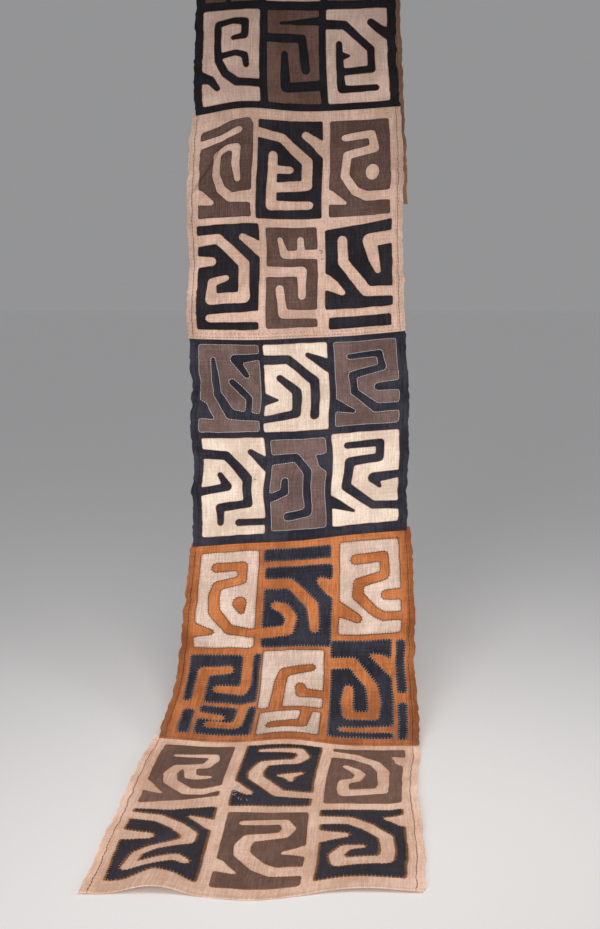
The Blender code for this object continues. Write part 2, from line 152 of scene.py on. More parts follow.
def curve_through(stations, values, at):
    """A smooth curve through the values at these stations, read at many places at once."""
    stations, values = np.asarray(stations, float), np.asarray(values, float)
    slopes = np.gradient(values, stations)
    k = np.clip(np.searchsorted(stations, at) - 1, 0, len(stations) - 2)
    span = stations[k + 1] - stations[k]
    t = (at - stations[k]) / span
    start = values[k] * (1 + 2 * t) * (1 - t) ** 2 + slopes[k] * span * t * (1 - t) ** 2
    return start + values[k + 1] * (3 - 2 * t) * t * t + slopes[k + 1] * span * (t - 1) * t * t


print("places along the selvedges:", len(read_columns(EDGES)))

# %% The side view: depth, height and slope at a distance from the front end
FOLD_START = math.atan2(DROP_LENGTH, SAG)
FOLD_LENGTH = FOLD_RADIUS * (FOLD_START + math.pi / 2)
FOLD_START_Y = -FOLD_RADIUS * math.sin(FOLD_START)
FOLD_START_Z = FOLD_RADIUS * (math.cos(FOLD_START) - 1)
FLOOR_Z = FOLD_START_Z - (math.hypot(DROP_LENGTH, SAG) - SAG)
TOUCH_DOWN_Y = FOLD_START_Y - SAG * math.asinh(DROP_LENGTH / SAG)


def profile(along):
    """Depth and height of the cloth's reverse side, and its slope, this far from the front end."""
    rising = np.clip(along - TRAIN_LENGTH, 0, DROP_LENGTH)
    on_floor = np.minimum(along - TRAIN_LENGTH, 0)
    turned = np.maximum(along - TRAIN_LENGTH - DROP_LENGTH, 0)
    fallen = np.maximum(turned - FOLD_LENGTH, 0)
    turning = np.maximum(FOLD_START - turned / FOLD_RADIUS, -math.pi / 2)
    slope = np.where(turned > 0, turning, np.arctan2(rising, SAG))
    depth = TOUCH_DOWN_Y + SAG * np.arcsinh(rising / SAG) + on_floor
    height = FLOOR_Z + np.hypot(rising, SAG) - SAG
    over_depth, over_height = -FOLD_RADIUS * np.sin(slope), FOLD_RADIUS * (np.cos(slope) - 1) - fallen
    return np.where(turned > 0, over_depth, depth), np.where(turned > 0, over_height, height), slope


print("floor at", round(FLOOR_Z, 4), "touch-down at", round(TOUCH_DOWN_Y, 4))

# %% [markdown]
# ## Unevenness
#
# Nothing made by hand is straight. A grid of random numbers, blended smoothly from one to the next, gives
# soft bumps of any size. The same small function makes the selvedges flutter, the hems pucker and the cut
# edges wander, each with its own seed so that the result is the same every time.

# %% Soft random bumps
DRAWS = 64


def uneven(seed, spacing, x, y=0.0):
    """Smooth values from -1 to 1 that change about once every spacing."""
    draws = np.random.default_rng(seed).uniform(-1, 1, (DRAWS, DRAWS))
    x, y = np.broadcast_arrays(np.asarray(x, float) / spacing, np.asarray(y, float) / spacing)
    i, j = np.floor(x).astype(int), np.floor(y).astype(int)
    s, t = ((3 - 2 * part) * part * part for part in (x - i, y - j))

    def blended(row):
        return draws[i % DRAWS, row % DRAWS] * (1 - s) + draws[(i + 1) % DRAWS, row % DRAWS] * s

    return blended(j) * (1 - t) + blended(j + 1) * t


def ease(t):
    """From 0 to 1, flat at both ends."""
    t = np.clip(t, 0, 1)
    return t * t * (3 - 2 * t)


def from_segment(across, along, start, end):
    """The distance from a segment, and the share of the way along it where the nearest point is."""
    way = np.subtract(end, start)
    offset = (across - start[0]) * way[0] + (along - start[1]) * way[1]
    share = np.clip(offset / max(way @ way, 1e-12), 0, 1)
    return np.hypot(across - start[0] - share * way[0], along - start[1] - share * way[1]), share


print("an uneven line:", uneven(1, 1.0, np.arange(4)).round(2))

# %% [markdown]
# ## What stands off the plain curve
#
# A cloth that hangs by one end has long soft ripples, and this one was kept folded, so it also has narrow
# creases. Its selvedges are scalloped, because the hem thread is tighter than the weave beside it. A
# cloth simulation would find ripples of its own. These are charted from the photograph instead, so that
# the real ones can be followed: each ripple is an oval bump, and each crease a ridge or a groove along a
# straight line.

# %% Ripples and creases, in millimetres, with a turn in degrees
RIPPLES = """
  along across reach_along reach_across turn height
      0    118         210           78    0   13
      0    465         230          120    0    7
    330    560         170           60    0    5
    470      0         150           60    0    6
    650    170         150          110    0   -4
    650    290         150          110    0    3
    900    560         230          150    0    7
   1000     20         240          150    0   -7
   1150    300         220          150    0    4
   1420    560         200          140    0   -6
   1500      0         230          150    0    6
   1700    180         180          120    0   -4
   1990    545         240          170    0    6
   2170     62         150           45   27   -5
   2240    130         170           80    8    6
   2330    400         200          150    0   -4
   2560    120         230          170    0   -5
"""
CREASES = """
  along across  to_along to_across width height
   2258     96      2090         2    13   -8.0
   2244    116      2100        30    16    5.5
   1120    168       620       158    16   -5.0
   1110    190       620       182    20    3.0
    800     60       660        20    16    2.0
    330    552       120       548    14    1.8
   1600     40      1400        26    16    1.8
"""


def creases(across, run, table=read_columns(CREASES)):
    """Narrow ridges and grooves left by folding, in metres; each fades out towards its ends."""
    height = np.zeros_like(run)
    for along, side, to_along, to_side, width, rise in table:
        distance, share = from_segment(across / MM, run / MM, (side, along), (to_side, to_along))
        height += rise * MM * np.exp(-((distance / width) ** 2)) * ease(4 * share) * ease(4 * (1 - share))
    return height


def ripples(across, run, table=read_columns(RIPPLES)):
    """Soft ridges and troughs, in metres off the plain shape."""
    height = np.zeros_like(run)
    for centre_along, centre_across, reach_along, reach_across, turn, rise in table:
        cosine, sine = math.cos(math.radians(turn)), math.sin(math.radians(turn))
        up, side = run / MM - centre_along, across / MM - centre_across
        lengthways = (up * cosine - side * sine) / reach_along
        sideways = (up * sine + side * cosine) / reach_across
        height += rise * MM * np.maximum(1 - lengthways**2 - sideways**2, 0) ** 2
    height = height + creases(across, run)
    off_floor = ease((run - TRAIN_LENGTH - LANDING / 2) / (2 * LANDING))
    return np.where(height < 0, height * off_floor, height)


print("ripples:", len(read_columns(RIPPLES)), "creases:", len(read_columns(CREASES)))

# %% What the sewing and the turned hems do to the cloth
PUCKER = 0.45 * MM
FLUTTER = 4.2 * MM  # of the selvedges, sideways
HEM_WAVE = 1.7 * MM  # of the selvedges, in and out
EDGE_REACH = 0.026  # how far in from a selvedge these die away


def rim(across):
    """1 at a selvedge, fading to 0 inside, and a number that tells the two selvedges apart."""
    inner = np.maximum(np.minimum(across, WIDTH - across), 0)
    return np.exp(-inner / EDGE_REACH), np.where(across < WIDTH / 2, 0.0, 9.3)


def relief(across, run):
    """Puckers all over, and the selvedges' waves in and out; on the floor they only stand upwards."""
    near, side = rim(across)
    wave = HEM_WAVE * near
    rests = 1 - ease((run - TRAIN_LENGTH) / (2 * LANDING))
    waves = 0.7 * uneven(40, 0.040, run, side * 0.040) + 0.4 * uneven(41, 0.011, run, side * 0.011)
    bumps = PUCKER * uneven(50, 0.042, across, run) + wave * waves
    return bumps + rests * (PUCKER + wave)


def flutter(across, run):
    """How far a selvedge strays sideways."""
    near, side = rim(across)
    amount = 0.65 * uneven(31, 0.032, run, side * 0.032) + 0.60 * uneven(32, 0.010, run, side * 0.010)
    return near * FLUTTER * amount


print("a selvedge strays by", (flutter(np.zeros(4), np.arange(4) * 0.3) / MM).round(1), "mm")

# %% [markdown]
# ## One panel, and how it is bent into the hang
#
# A panel is a rectangle of cloth, and its place in the hang is between two seams and two selvedges, none
# of them straight. So each flat place is given as shares of the way between them, read from smooth
# curves, and then lifted off the side view's curve by the relief. All that is sewn to a panel goes
# through the same function.

# %% The panels
class Panel:
    """One panel's place in the cloth: its seams, its drawn-in corners and its length."""

    def __init__(self, number):
        self.number = number
        self.colour, low_seam, high_seam, insets = PANELS[number]
        self.low, self.high = SEAMS[low_seam], SEAMS[high_seam]
        self.insets = np.array(insets) * MM
        self.length = (np.mean(self.high) - np.mean(self.low)) * MM
        self.first = 0.0 if number == FRONT else -LAP_BELOW
        self.last = self.length + (0.0 if number == BACK else LAP_ABOVE)

    def drape(self, flat):
        """Flat places (across, along, out of the reverse side) where they hang, all in metres."""
        across, along, out = np.asarray(flat, float).T
        share = across / WIDTH
        steps = np.linspace(0, 1, len(self.low))
        low, high = (curve_through(steps, seam, share) * MM for seam in (self.low, self.high))
        run = low + (high - low) * along / self.length
        left, right = self.selvedges(run)
        near = [np.maximum(1 - abs(along - end) / CORNER_EASE, 0) ** 2 for end in (0, self.length)]
        inset_left, inset_right = (near[0] * self.insets[k] + near[1] * self.insets[k + 2] for k in (0, 1))
        sideways = (left + inset_left) * (1 - share) + (right - inset_right) * share
        woven = (sideways - left) / (right - left) * WIDTH
        lift = ripples(woven, run) + relief(woven, run) + out
        depth, height, slope = profile(run)
        sideways = sideways + flutter(woven, run)
        return np.column_stack((sideways, depth - np.sin(slope) * lift, height + np.cos(slope) * lift))

    def selvedges(self, run, table=read_columns(EDGES)):
        """Where the left and the right selvedge are, this far from the front end."""
        stations, left, right = table.T
        return (curve_through(stations, edge, run / MM) * MM for edge in (left, right))


panels = {number: Panel(number) for number in PANELS}
print("panel lengths:", {number: round(panel.length, 3) for number, panel in panels.items()})

# %% [markdown]
# ## From flat arrays to objects
#
# Every piece is built as arrays of flat points and faces. One helper drapes them, makes the mesh and
# keeps the flat places as an attribute, so that the weave can follow the cloth later without any
# unwrapping.

# %% Draping a piece and making its object
triangles = {}


def make_piece(name, panel, flat, faces, grain):
    """An object from flat points; grain holds (across, along, distance in from the piece's own edge)."""
    mesh = bpy.data.meshes.new(name)
    mesh.from_pydata(panel.drape(flat).tolist(), [], faces)
    places = mesh.attributes.new("grain", "FLOAT_VECTOR", "POINT")
    places.data.foreach_set("vector", np.asarray(grain, np.float32).ravel())
    bm = bmesh.new()
    bm.from_mesh(mesh)
    bmesh.ops.recalc_face_normals(bm, faces=bm.faces)
    bm.to_mesh(mesh)
    bm.free()
    mesh.calc_loop_triangles()
    triangles[name] = len(mesh.loop_triangles)
    mesh.shade_smooth()
    made = bpy.data.objects.new(name, mesh)
    bpy.context.collection.objects.link(made)
    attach(made, "root")
    return made


print("pieces made so far:", len(triangles))

# %% [markdown]
# ## The woven panels
#
# A panel is a sheet 1.3 mm thick. Its two selvedges are rolled into hems about 17 mm wide, which stop
# just short of the next panel. Its lower end lies over the panel below and is stepped up onto it. The
# mesh is a closed grid with close lines at the hems and at the lap, where the surface turns quickly, and
# wide ones elsewhere.

# %% The panels' lines and surfaces
HEM_LINES = np.array((0, 0.4, 1.4, 3, 6, 10, 12.5, 14, 15.5, 16.5, 17.2, 18, 22, 28)) * MM
END_LINES = np.array((0, 0.25, 0.7, 2, 4, 6, 8, 10, 11.5, 13.5, 16, 20)) * MM
CELL = 0.008
FOLD_CELL = 0.003
FOLD_REACH = (0.478, 0.550)  # of panel 1, where it goes over the fold
HEM_STOP = 0.004
STEP = 0.001
TURNED_END = 0.007  # the thin turned edge at the very front
STITCH_LINE = 0.0138  # how far in from a selvedge the hem is sewn
FAR_INSIDE = 0.05  # far from any cut edge


def spaced(start, end, cell):
    """Even places from start to end, about a cell apart."""
    return np.linspace(start, end, max(2, round((end - start) / cell) + 1))


def lap_lift(panel, along):
    """A panel's lower end is stepped up onto the panel below."""
    return LAP_LIFT * (panel.number != FRONT) * (1 - ease((along - LAP_ABOVE - STEP) / LAP_SLOPE))


def thickness(panel, across, along):
    """One layer, or two at the hems, grooved where stitches pull, with a turned edge at the front."""
    inner = np.minimum(across, WIDTH - across)
    side = np.sign(across - WIDTH / 2) * 0.1
    hem_edge = HEM_WIDTH + 1.2 * MM * uneven(60 + panel.number, 0.05, along, side)
    hem = 1 - ease((inner - hem_edge) / (1.3 * MM))
    if panel.number != BACK:
        hem = hem * (1 - ease((along - panel.length + LAP_BELOW + HEM_STOP) / STEP))
    groove = 0.3 * MM * np.exp(-(((inner - STITCH_LINE) / MM) ** 2)) * hem
    turned = 0.7 * MM * (1 - ease((along - TURNED_END) / STEP)) * (1 - hem) if panel.number == FRONT else 0
    return SHEET + (HEM_THICKNESS - SHEET) * hem - groove + turned


where_sewn = thickness(panels[3], np.array([STITCH_LINE]), np.array([0.2]))
print("a hem where it is sewn is", (where_sewn / MM).round(2), "mm thick")

# %% The panels, woven
def quads(ids):
    """The faces of a grid of points."""
    return np.stack((ids[:-1, :-1], ids[1:, :-1], ids[1:, 1:], ids[:-1, 1:]), -1).reshape(-1, 4)


def weave_panel(panel):
    """A closed sheet: its face and its reverse are the same grid, and share the points at the rim."""
    first, last = panel.first, panel.last
    middle = spaced(first + END_LINES[-1] + CELL, last - END_LINES[-1] - CELL, CELL)
    if panel.number == 1:
        middle = middle[(middle < FOLD_REACH[0]) | (middle > FOLD_REACH[1])]
        middle = np.sort(np.concatenate((middle, spaced(*FOLD_REACH, FOLD_CELL))))
    along_lines = np.concatenate((first + END_LINES, middle, last - END_LINES[::-1]))
    between = spaced(HEM_LINES[-1] + CELL, WIDTH - HEM_LINES[-1] - CELL, CELL)
    across_lines = np.concatenate((HEM_LINES, between, WIDTH - HEM_LINES[::-1]))
    across, along = np.meshgrid(across_lines, along_lines, indexing="ij")
    half = thickness(panel, across, along) / 2
    inward = np.minimum.reduce((across, WIDTH - across, along - first, last - along))
    bulge = half * np.sqrt(1 - (1 - np.minimum(inward / half, 1)) ** 2)
    middle_out = half + lap_lift(panel, along)
    face = np.stack((across, along, middle_out + bulge), -1)
    reverse = np.stack((across, along, middle_out - bulge), -1)[1:-1, 1:-1]
    ids = np.arange(across.size).reshape(across.shape)
    under = ids.copy()
    under[1:-1, 1:-1] = ids.size + np.arange(reverse[..., 0].size).reshape(reverse.shape[:2])
    flat = np.concatenate((face.reshape(-1, 3), reverse.reshape(-1, 3)))
    grain = flat.copy()
    grain[:, 2] = FAR_INSIDE
    faces = np.concatenate((quads(ids), quads(under)[:, ::-1])).tolist()
    made = make_piece(f"woven_panel_{panel.number}", panel, flat, faces, grain)
    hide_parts(f"panel_{panel.number}")
    return made


sheets = {number: weave_panel(panel) for number, panel in panels.items()}
print("panels:", sum(triangles.values()), "triangles")

# %% [markdown]
# ## The charts of the motifs
#
# Each motif is a cut piece of raffia: a rough rectangle with a few channels cut into it, through which
# the ground shows. The channels are what the maker drew, so they are charted here: runs of points
# in hundredths of the piece, from its left and top, each with the channel's width there in millimetres. A
# stroke parts one run from the next. A hole is an oval, given by its centre and two radii.

# %% The motifs: panel, place, colour, box in millimetres, and the chart where it isn't the motif's own
MOTIFS = """
  5 lower_left         black    28   185   36  300
  5 lower_middle       brown   206   356   28  282
  5 lower_right        black   376   532   36  292
  5 upper_left         brown    31   180  312  568
  5 upper_middle       black   202   360  306  570
  5 upper_right        brown   381   530  318  568
  4 lower_left         black    27   196  127  265
  4 lower_left_bar     black    35    63   24  103  uncut
  4 lower_left_foot    black    71   198   25  117
  4 lower_middle       cream   199   347  107  273
  4 lower_middle_foot  cream   206   345   22   97
  4 lower_right        black   361   506   24  298
  4 lower_right_bar    black   515   538  157  294  uncut
  4 lower_right_foot   black   514   536   21  133  uncut
  4 upper_left         cream    29   176  284  548
  4 upper_middle       black   191   360  281  500
  4 upper_middle_bar   black   187   357  514  550  uncut
  4 upper_right        cream   376   528  312  552
  3 lower_left         cream    24   188   20  280
  3 lower_middle       brown   203   346   27  271
  3 lower_right        cream   361   537   24  278
  3 upper_left         brown    22   178  295  533
  3 upper_middle       cream   188   356  292  533
  3 upper_right        brown   372   535  297  530
  2 lower_left         black    24   186   24  314
  2 lower_middle       brown   203   337   27  303
  2 lower_right        black   356   532   72  314
  2 lower_right_bar    black   364   526   18   52  uncut
  2 upper_left         brown    29   166  332  600
  2 upper_middle       black   178   351  326  600
  2 upper_right        brown   369   527  328  597
  1 lower_left         cream    22   180   17  278
  1 lower_middle       brown   200   346   17  277
  1 lower_right        cream   364   536   16  278
  1 upper_left         brown    24   180  300  590
  1 upper_middle       cream   192   350  300  590  5_lower_middle
  1 upper_right        brown   366   534  300  590  1_lower_right
  0 lower_left         black    26   182   30  300  5_lower_right
  0 lower_middle       brown   200   350   30  300  4_upper_right
  0 lower_right        black   368   532   30  300  2_lower_left
  0 upper_left         brown    26   182  320  600  3_upper_right
  0 upper_middle       black   200   350  320  600  5_upper_right
  0 upper_right        brown   368   532  320  600  3_lower_right
"""
print("motifs to cut:", len(MOTIFS.strip().splitlines()))

# %% The charts: across, down, width; a piece that is left whole has an empty one
CHARTS = {
    "uncut": "",
    "1_lower_left": """53,30,12 73,28,18 74,13,20 53,12,15 26,15,17 26,35,19 28,53,19 41,68,20 60,78,22
        100,80,21 / 30,49,17 58,46,16 74,49,17 77,60,16 / 0,70,32 15,73,20 27,83,14""",
    "1_lower_middle": "100,12,22 25,14,6 / 0,30,23 67,30,22 74,64,21 / 100,80,24 35,83,26 34,47,17",
    "1_lower_right": """0,16,25 31,17,22 73,44,19 73,65,20 23,67,19 / 22,37,17 23,85,21 78,85,16
        / 28,50,20 41,50,3 / 100,28,30 86,22,22 73,15,19""",
    "1_upper_left": """24,17,12 26,40,20 27,56,20 52,80,26 100,84,19 / 100,14,16 60,17,25 78,36,14
        / 53,43,17 80,62,18 81,78,17 / 0,75,46 26,85,4 / 42,100,12 44,90,8""",
    "2_upper_left": """0,23,21 40,19,18 73,12,17 / 74,62,14 68,46,20 69,30,20 52,30,18 33,35,20 32,56,20
        43,71,22 62,80,26 100,79,33 / 0,78,40 25,84,16""",
    "2_upper_middle": """0,14,25 37,18,24 76,42,25 77,66,26 28,68,27 / 24,36,22 24,86,26 80,86,21
        / 28,50,22 50,50,18 / 100,29,35 88,22,24 73,15,20""",
    "2_upper_right": """25,18,20 70,15,21 74,30,23 28,36,22 25,58,23 43,74,24 62,80,26 100,80,28
        / hole 70,55,11 8.5 / 0,79,40 27,86,10""",
    "2_lower_left": """0,15,30 33,14,25 74,38,27 76,69,28 24,71,28 24,55,21 46,51,15 / 0,35,32 22,35,22
        / 100,24,35 73,13,18 / 100,87,28 22,89,21""",
    "2_lower_middle": """100,27,25 35,27,22 27,12,15 / 67,26,21 67,12,17 / 0,44,30 69,44,26 70,69,18
        / 100,87,24 34,86,24 27,61,20""",
    "2_lower_right": """26,21,24 27,46,26 61,81,27 100,83,26 / 100,21,34 66,23,34 72,44,26 78,59,12
        / 0,68,42 12,73,30 26,81,14""",
    "3_upper_left": """24,17,12 26,40,20 27,56,20 52,80,26 100,84,19 / 100,14,16 60,17,25 78,36,14
        / 53,43,17 80,62,18 81,78,17 / 0,75,46 26,85,4""",
    "3_upper_middle": """0,18,24 38,18,21 77,44,23 78,83,20 / 24,39,17 49,55,22 50,80,22 0,86,17
        / 0,63,30 22,64,3 / 100,27,32 69,14,12""",
    "3_upper_right": """24,18,16 72,16,17 75,33,20 27,40,20 29,60,20 63,81,24 100,81,22
        / 100,56,28 67,56,20 / 0,75,32 28,83,12""",
    "3_lower_left": """0,16,24 36,18,22 72,43,22 75,68,20 29,71,20 29,86,15 / 27,37,13 42,50,20 0,54,20
        / 100,28,31 76,15,13 / 100,87,16 58,87,18""",
    "3_lower_middle": """0,22,26 44,20,22 66,37,22 69,75,20 66,82,22 30,85,22 / 26,46,18 27,58,22 0,64,20
        / 100,27,46 83,20,8""",
    "3_lower_right": """23,14,17 72,13,18 70,29,21 26,32,23 23,58,23 61,80,21 100,82,20
        / 100,48,18 62,51,26 73,61,8 / 0,73,30 33,85,7""",
    "4_upper_left": """28,16,22 72,16,22 73,30,22 32,35,23 28,46,26 31,62,26 58,81,24 100,85,22
        / 72,54,34 76,62,14 / 0,81,38 28,83,12""",
    "4_upper_middle": """4,21,25 38,21,24 72,50,27 76,78,20 / 18,48,19 32,52,24 42,64,26 38,79,27 0,82,27
        / 100,30,40 82,20,18""",
    "4_upper_right": """27,20,24 74,18,22 74,38,21 32,45,24 30,58,25 58,77,20 72,82,19 100,82,18
        / 100,59,26 75,59,22 / 0,72,35 18,78,26 30,83,20""",
    "4_lower_left": "20,100,28 21,36,26 56,30,21 / 82,0,24 82,60,23 78,72,23 44,71,20",
    "4_lower_left_foot": "0,33,18 42,36,14 / 77,0,22 72,60,20 25,62,20",
    "4_lower_middle": "27,100,28 31,55,24 36,38,22 80,30,18 / 63,63,20 66,74,24 100,75,18",
    "4_lower_middle_foot": "76,0,24 72,55,20 22,60,18",
    "4_lower_right": """0,22,28 36,21,26 66,43,26 70,60,27 69,74,24 30,74,22 27,60,27 29,47,20
        / 100,27,36 82,19,24 68,15,10 / 100,89,20 22,90,13""",
    "5_upper_left": """22,17,9 76,16,18 77,24,24 70,35,22 32,38,22 26,50,27 31,64,27 57,80,26 78,80,24
        100,73,22 / 50,38,24 54,54,24 64,56,20 80,55,10 / 0,73,36 25,84,5""",
    "5_upper_middle": """20,9,9 72,9,18 78,18,24 70,27,22 30,31,22 23,45,27 25,55,27 58,80,26 100,83,24
        / 54,52,8 66,52,22 80,47,10 / 66,53,18 70,60,8 / 0,68,28 22,80,14""",
    "5_upper_right": """0,10,26 33,14,24 61,26,22 74,42,22 76,66,22 74,78,26 28,82,28 23,74,22 24,62,22
        40,58,20 44,48,20 36,40,20 22,32,12 / 100,22,40 84,14,6""",
    "5_lower_left": """0,15,24 34,18,24 58,28,24 76,40,26 76,49,24 60,55,20 40,60,18 26,67,18 20,84,20
        45,80,20 70,74,22 80,78,18 / 0,42,36 30,43,20 / 100,26,36 70,15,6""",
    "5_lower_middle": """22,16,16 72,14,20 78,24,24 72,33,22 32,37,24 26,47,28 28,58,28 50,74,28 66,80,28
        100,82,28 / 100,56,38 76,57,12 / 0,74,38 25,82,6""",
    "5_lower_right": """0,16,32 35,17,26 56,27,24 76,43,24 78,64,24 75,76,28 26,79,28 21,68,24 31,58,20
        49,57,12 / 0,40,42 28,39,18 / 100,18,42 78,14,8""",
}
OUTLINES = {  # pieces that aren't rectangles: their corners in the same hundredths
    "5_lower_left": "0,5 45,5 100,-1 100,100 52,91 22,100 0,100",
    "5_upper_left": "0,0 100,0 100,87 60,94 0,100",
    "2_lower_right": "0,8 100,0 100,100 0,100",
    "2_upper_left": "0,10 30,7 60,2 94,0 100,5 100,100 0,100",
}
RECTANGLE = "0,0 100,0 100,100 0,100"


def read_runs(text):
    """The runs of points in a chart, each point a few numbers."""
    runs = [run.split() for run in text.split("/") if run]
    return [[tuple(float(x) for x in word.split(",")) for word in run] for run in runs]


print("charts:", len(CHARTS), "and one of them has", len(read_runs(CHARTS["3_lower_right"])), "channels")

# %% [markdown]
# ## Cutting the motifs out
#
# A pair of scissors and a turned edge leave round corners and a line that is never quite straight.
# Working with distances gives both for nothing: on a fine grid, each place holds how far it is inside the
# piece, which is the least of its distances from the outline and from every channel. A little blur rounds
# the corners, soft bumps make the line wander, and the cut edge is wherever the distance is zero.

# %% Distances and blur
OVERRUN = 12  # hundredths of the piece
FULL = 100  # a piece's whole width or height, in hundredths


def inside_polygon(across, along, corners):
    """How far inside the polygon each place lies; negative outside."""
    nearest, inside = np.full(across.shape, np.inf), np.zeros(across.shape, bool)
    for (x0, y0), (x1, y1) in zip(corners, np.roll(corners, -1, axis=0)):
        nearest = np.minimum(nearest, from_segment(across, along, (x0, y0), (x1, y1))[0])
        crossing = x0 + (along - y0) * (x1 - x0) / ((y1 - y0) or 1)
        inside ^= ((y0 > along) != (y1 > along)) & (across < crossing)
    return np.where(inside, nearest, -nearest)


def soften(field, weights=(0.05, 0.12, 0.20, 0.26, 0.20, 0.12, 0.05)):
    """A blur that rounds the field's corners."""
    for axis in (0, 1):
        shifts = range(-(len(weights) // 2), len(weights) // 2 + 1)
        field = sum(weight * np.roll(field, shift, axis) for weight, shift in zip(weights, shifts))
    return field


def run_past_edges(run):
    """A channel that opens at the piece's edge is drawn on past it."""
    longer = list(run)
    for end, inner, at in ((run[0], run[1], 0), (run[-1], run[-2], len(run) + 1)):
        if min(end[:2]) <= 0 or max(end[:2]) >= FULL:
            way = np.subtract(end[:2], inner[:2])
            further = np.array(end[:2]) + way / np.hypot(*way) * OVERRUN
            longer.insert(at, (*further, end[2]))
    return longer


print("a channel drawn on:", run_past_edges([(0, 50, 20), (40, 50, 20)])[0])

# %% A motif's distances, and the line through their zeros
GRID = 1.5 * MM
CUT_CORNER = 4.5 * MM
WANDER = 1.0 * MM
MARGIN = 0.009  # of the grid, round the piece


class Cutting:
    """A motif's distance field on a grid, and what is read from it."""

    def __init__(self, box, chart, seed):
        left, right, low, high = np.array(box) * MM
        self.origin = np.array((left - MARGIN, low - MARGIN))
        spans = (np.arange(0, size + 2 * MARGIN, GRID) for size in (right - left, high - low))
        lines = (start + span for start, span in zip(self.origin, spans))
        across, along = np.meshgrid(*lines, indexing="ij")

        def place(x, y):
            return np.array((left + (right - left) * x / FULL, high - (high - low) * y / FULL))

        corners = np.array([place(*point) for point in read_runs(OUTLINES.get(chart, RECTANGLE))[0]])
        corners -= np.sign(corners - corners.mean(0)) * CUT_CORNER
        field = inside_polygon(across, along, corners) + CUT_CORNER
        for words in CHARTS[chart].split("/"):
            if "hole" in words:
                numbers = words.replace("hole", "").replace(",", " ").split()
                x, y, wide, high_by = map(float, numbers)
                centre = place(x, y)
                radii = place(x + wide, y - high_by) - centre
                oval = np.hypot((across - centre[0]) / radii[0], (along - centre[1]) / radii[1]) - 1
                field = np.minimum(field, oval * min(radii))
            elif words.strip():
                run = run_past_edges(read_runs(words)[0])
                for (x0, y0, w0), (x1, y1, w1) in zip(run, run[1:]):
                    distance, share = from_segment(across, along, place(x0, y0), place(x1, y1))
                    field = np.minimum(field, distance - (w0 + (w1 - w0) * share) * MM / 2)
        self.field = soften(field) + WANDER * uneven(seed, 0.024, across, along)
        self.slopes = np.gradient(self.field, GRID)

    def read(self, grid, places):
        """The grid's values at any places, blended between its points."""
        x, y = ((places - self.origin) / GRID).T
        i, j = (np.clip(np.floor(v).astype(int), 0, size - 2) for v, size in zip((x, y), grid.shape))
        s, t = x - i, y - j
        near = grid[i, j] * (1 - s) + grid[i + 1, j] * s
        return near * (1 - t) + (grid[i, j + 1] * (1 - s) + grid[i + 1, j + 1] * s) * t

    def inward(self, places):
        """The way to the inside of the piece, of length one."""
        ways = np.column_stack([self.read(slope, places) for slope in self.slopes])
        return ways / np.maximum(np.linalg.norm(ways, axis=1, keepdims=True), 1e-9)

    def move_in(self, places, distance, steps):
        """Places moved towards the inside, in a few short steps."""
        for _ in range(steps):
            places = places + self.inward(places) * distance / steps
        return places

    def edges(self):
        """Closed loops along the zeros, by walking from cell to cell."""
        walk = ((0, 0), (1, 0), (1, 1), (0, 1))
        full = self.field > 0
        corners = np.stack([full[a : full.shape[0] - 1 + a, b : full.shape[1] - 1 + b] for a, b in walk])
        follow = {}
        for i, j in np.argwhere(corners.any(0) & ~corners.all(0)).tolist():
            nodes = [(i + a, j + b) for a, b in walk]
            signs = corners[:, i, j]
            crossed = [k for k in range(4) if signs[k] != signs[(k + 1) % 4]]
            for n, k in enumerate(crossed):
                if signs[k]:
                    after = crossed[(n + 1) % len(crossed)]
                    ends = [frozenset((nodes[m], nodes[(m + 1) % 4])) for m in (k, after)]
                    follow[ends[0]] = ends[1]
        loops = []
        while follow:
            first, current = next(iter(follow.items()))
            loop = [first]
            del follow[first]
            while current != first:
                loop.append(current)
                current = follow.pop(current)
            loops.append(np.array([self.crossing(*edge) for edge in loop]))
        return loops

    def crossing(self, a, b):
        """Where the field is zero between two neighbours on the grid."""
        part = self.field[a] / (self.field[a] - self.field[b])
        return self.origin + (np.array(a) * (1 - part) + np.array(b) * part) * GRID


sample = Cutting((0, 160, 0, 260), "3_lower_right", 0).edges()
print("one motif's cut edges have", [len(loop) for loop in sample], "points")

# %% Even points on a cut edge
POINTS_A_STITCH = 3


def evenly(loop, pitch):
    """The loop as even points, a whole number of stitches with a few points each."""
    closed = np.vstack((loop, loop[:1]))
    run = np.concatenate(([0], np.cumsum(np.linalg.norm(np.diff(closed, axis=0), axis=1))))
    count = POINTS_A_STITCH * max(3, round(run[-1] / pitch))
    at = (np.arange(count) + 0.35 * uneven(count, 2.1, np.arange(count))) * run[-1] / count % run[-1]
    return np.column_stack([np.interp(at, run, closed[:, k]) for k in (0, 1)])


print("and with stitches 6 mm apart", [len(evenly(loop, 6 * MM)) for loop in sample])

# %% [markdown]
# ## Sewing the motifs on
#
# The cut edge is turned under by a few millimetres, so a motif is thickest just inside its outline, and
# it is sewn down over that edge with small slanting stitches. Each stitch pulls the edge in a little,
# which gives the dark motifs their toothed outline. A thread lies along every edge, and on some motifs a
# second one slants over it.

# %% The sizes of a turned edge, and the threads of each panel
PUFF = 1.15 * MM  # the turned edge, above the ground
FLAT_PART = 0.80 * MM  # the middle of a piece
SEAT = 0.08 * MM
TURN_IN = 2.5 * MM
LATTICE = 7.0 * MM
RIDGE = 0.8 * MM  # how far in from the outline a turned edge is fullest
SHORTEST_LOOP = 12  # points; a shorter loop is a crumb of the field and no cut
WEAKEST_PULL, STRONGEST_PULL = 0.45, 1.35  # shares of the pull, from stitch to stitch

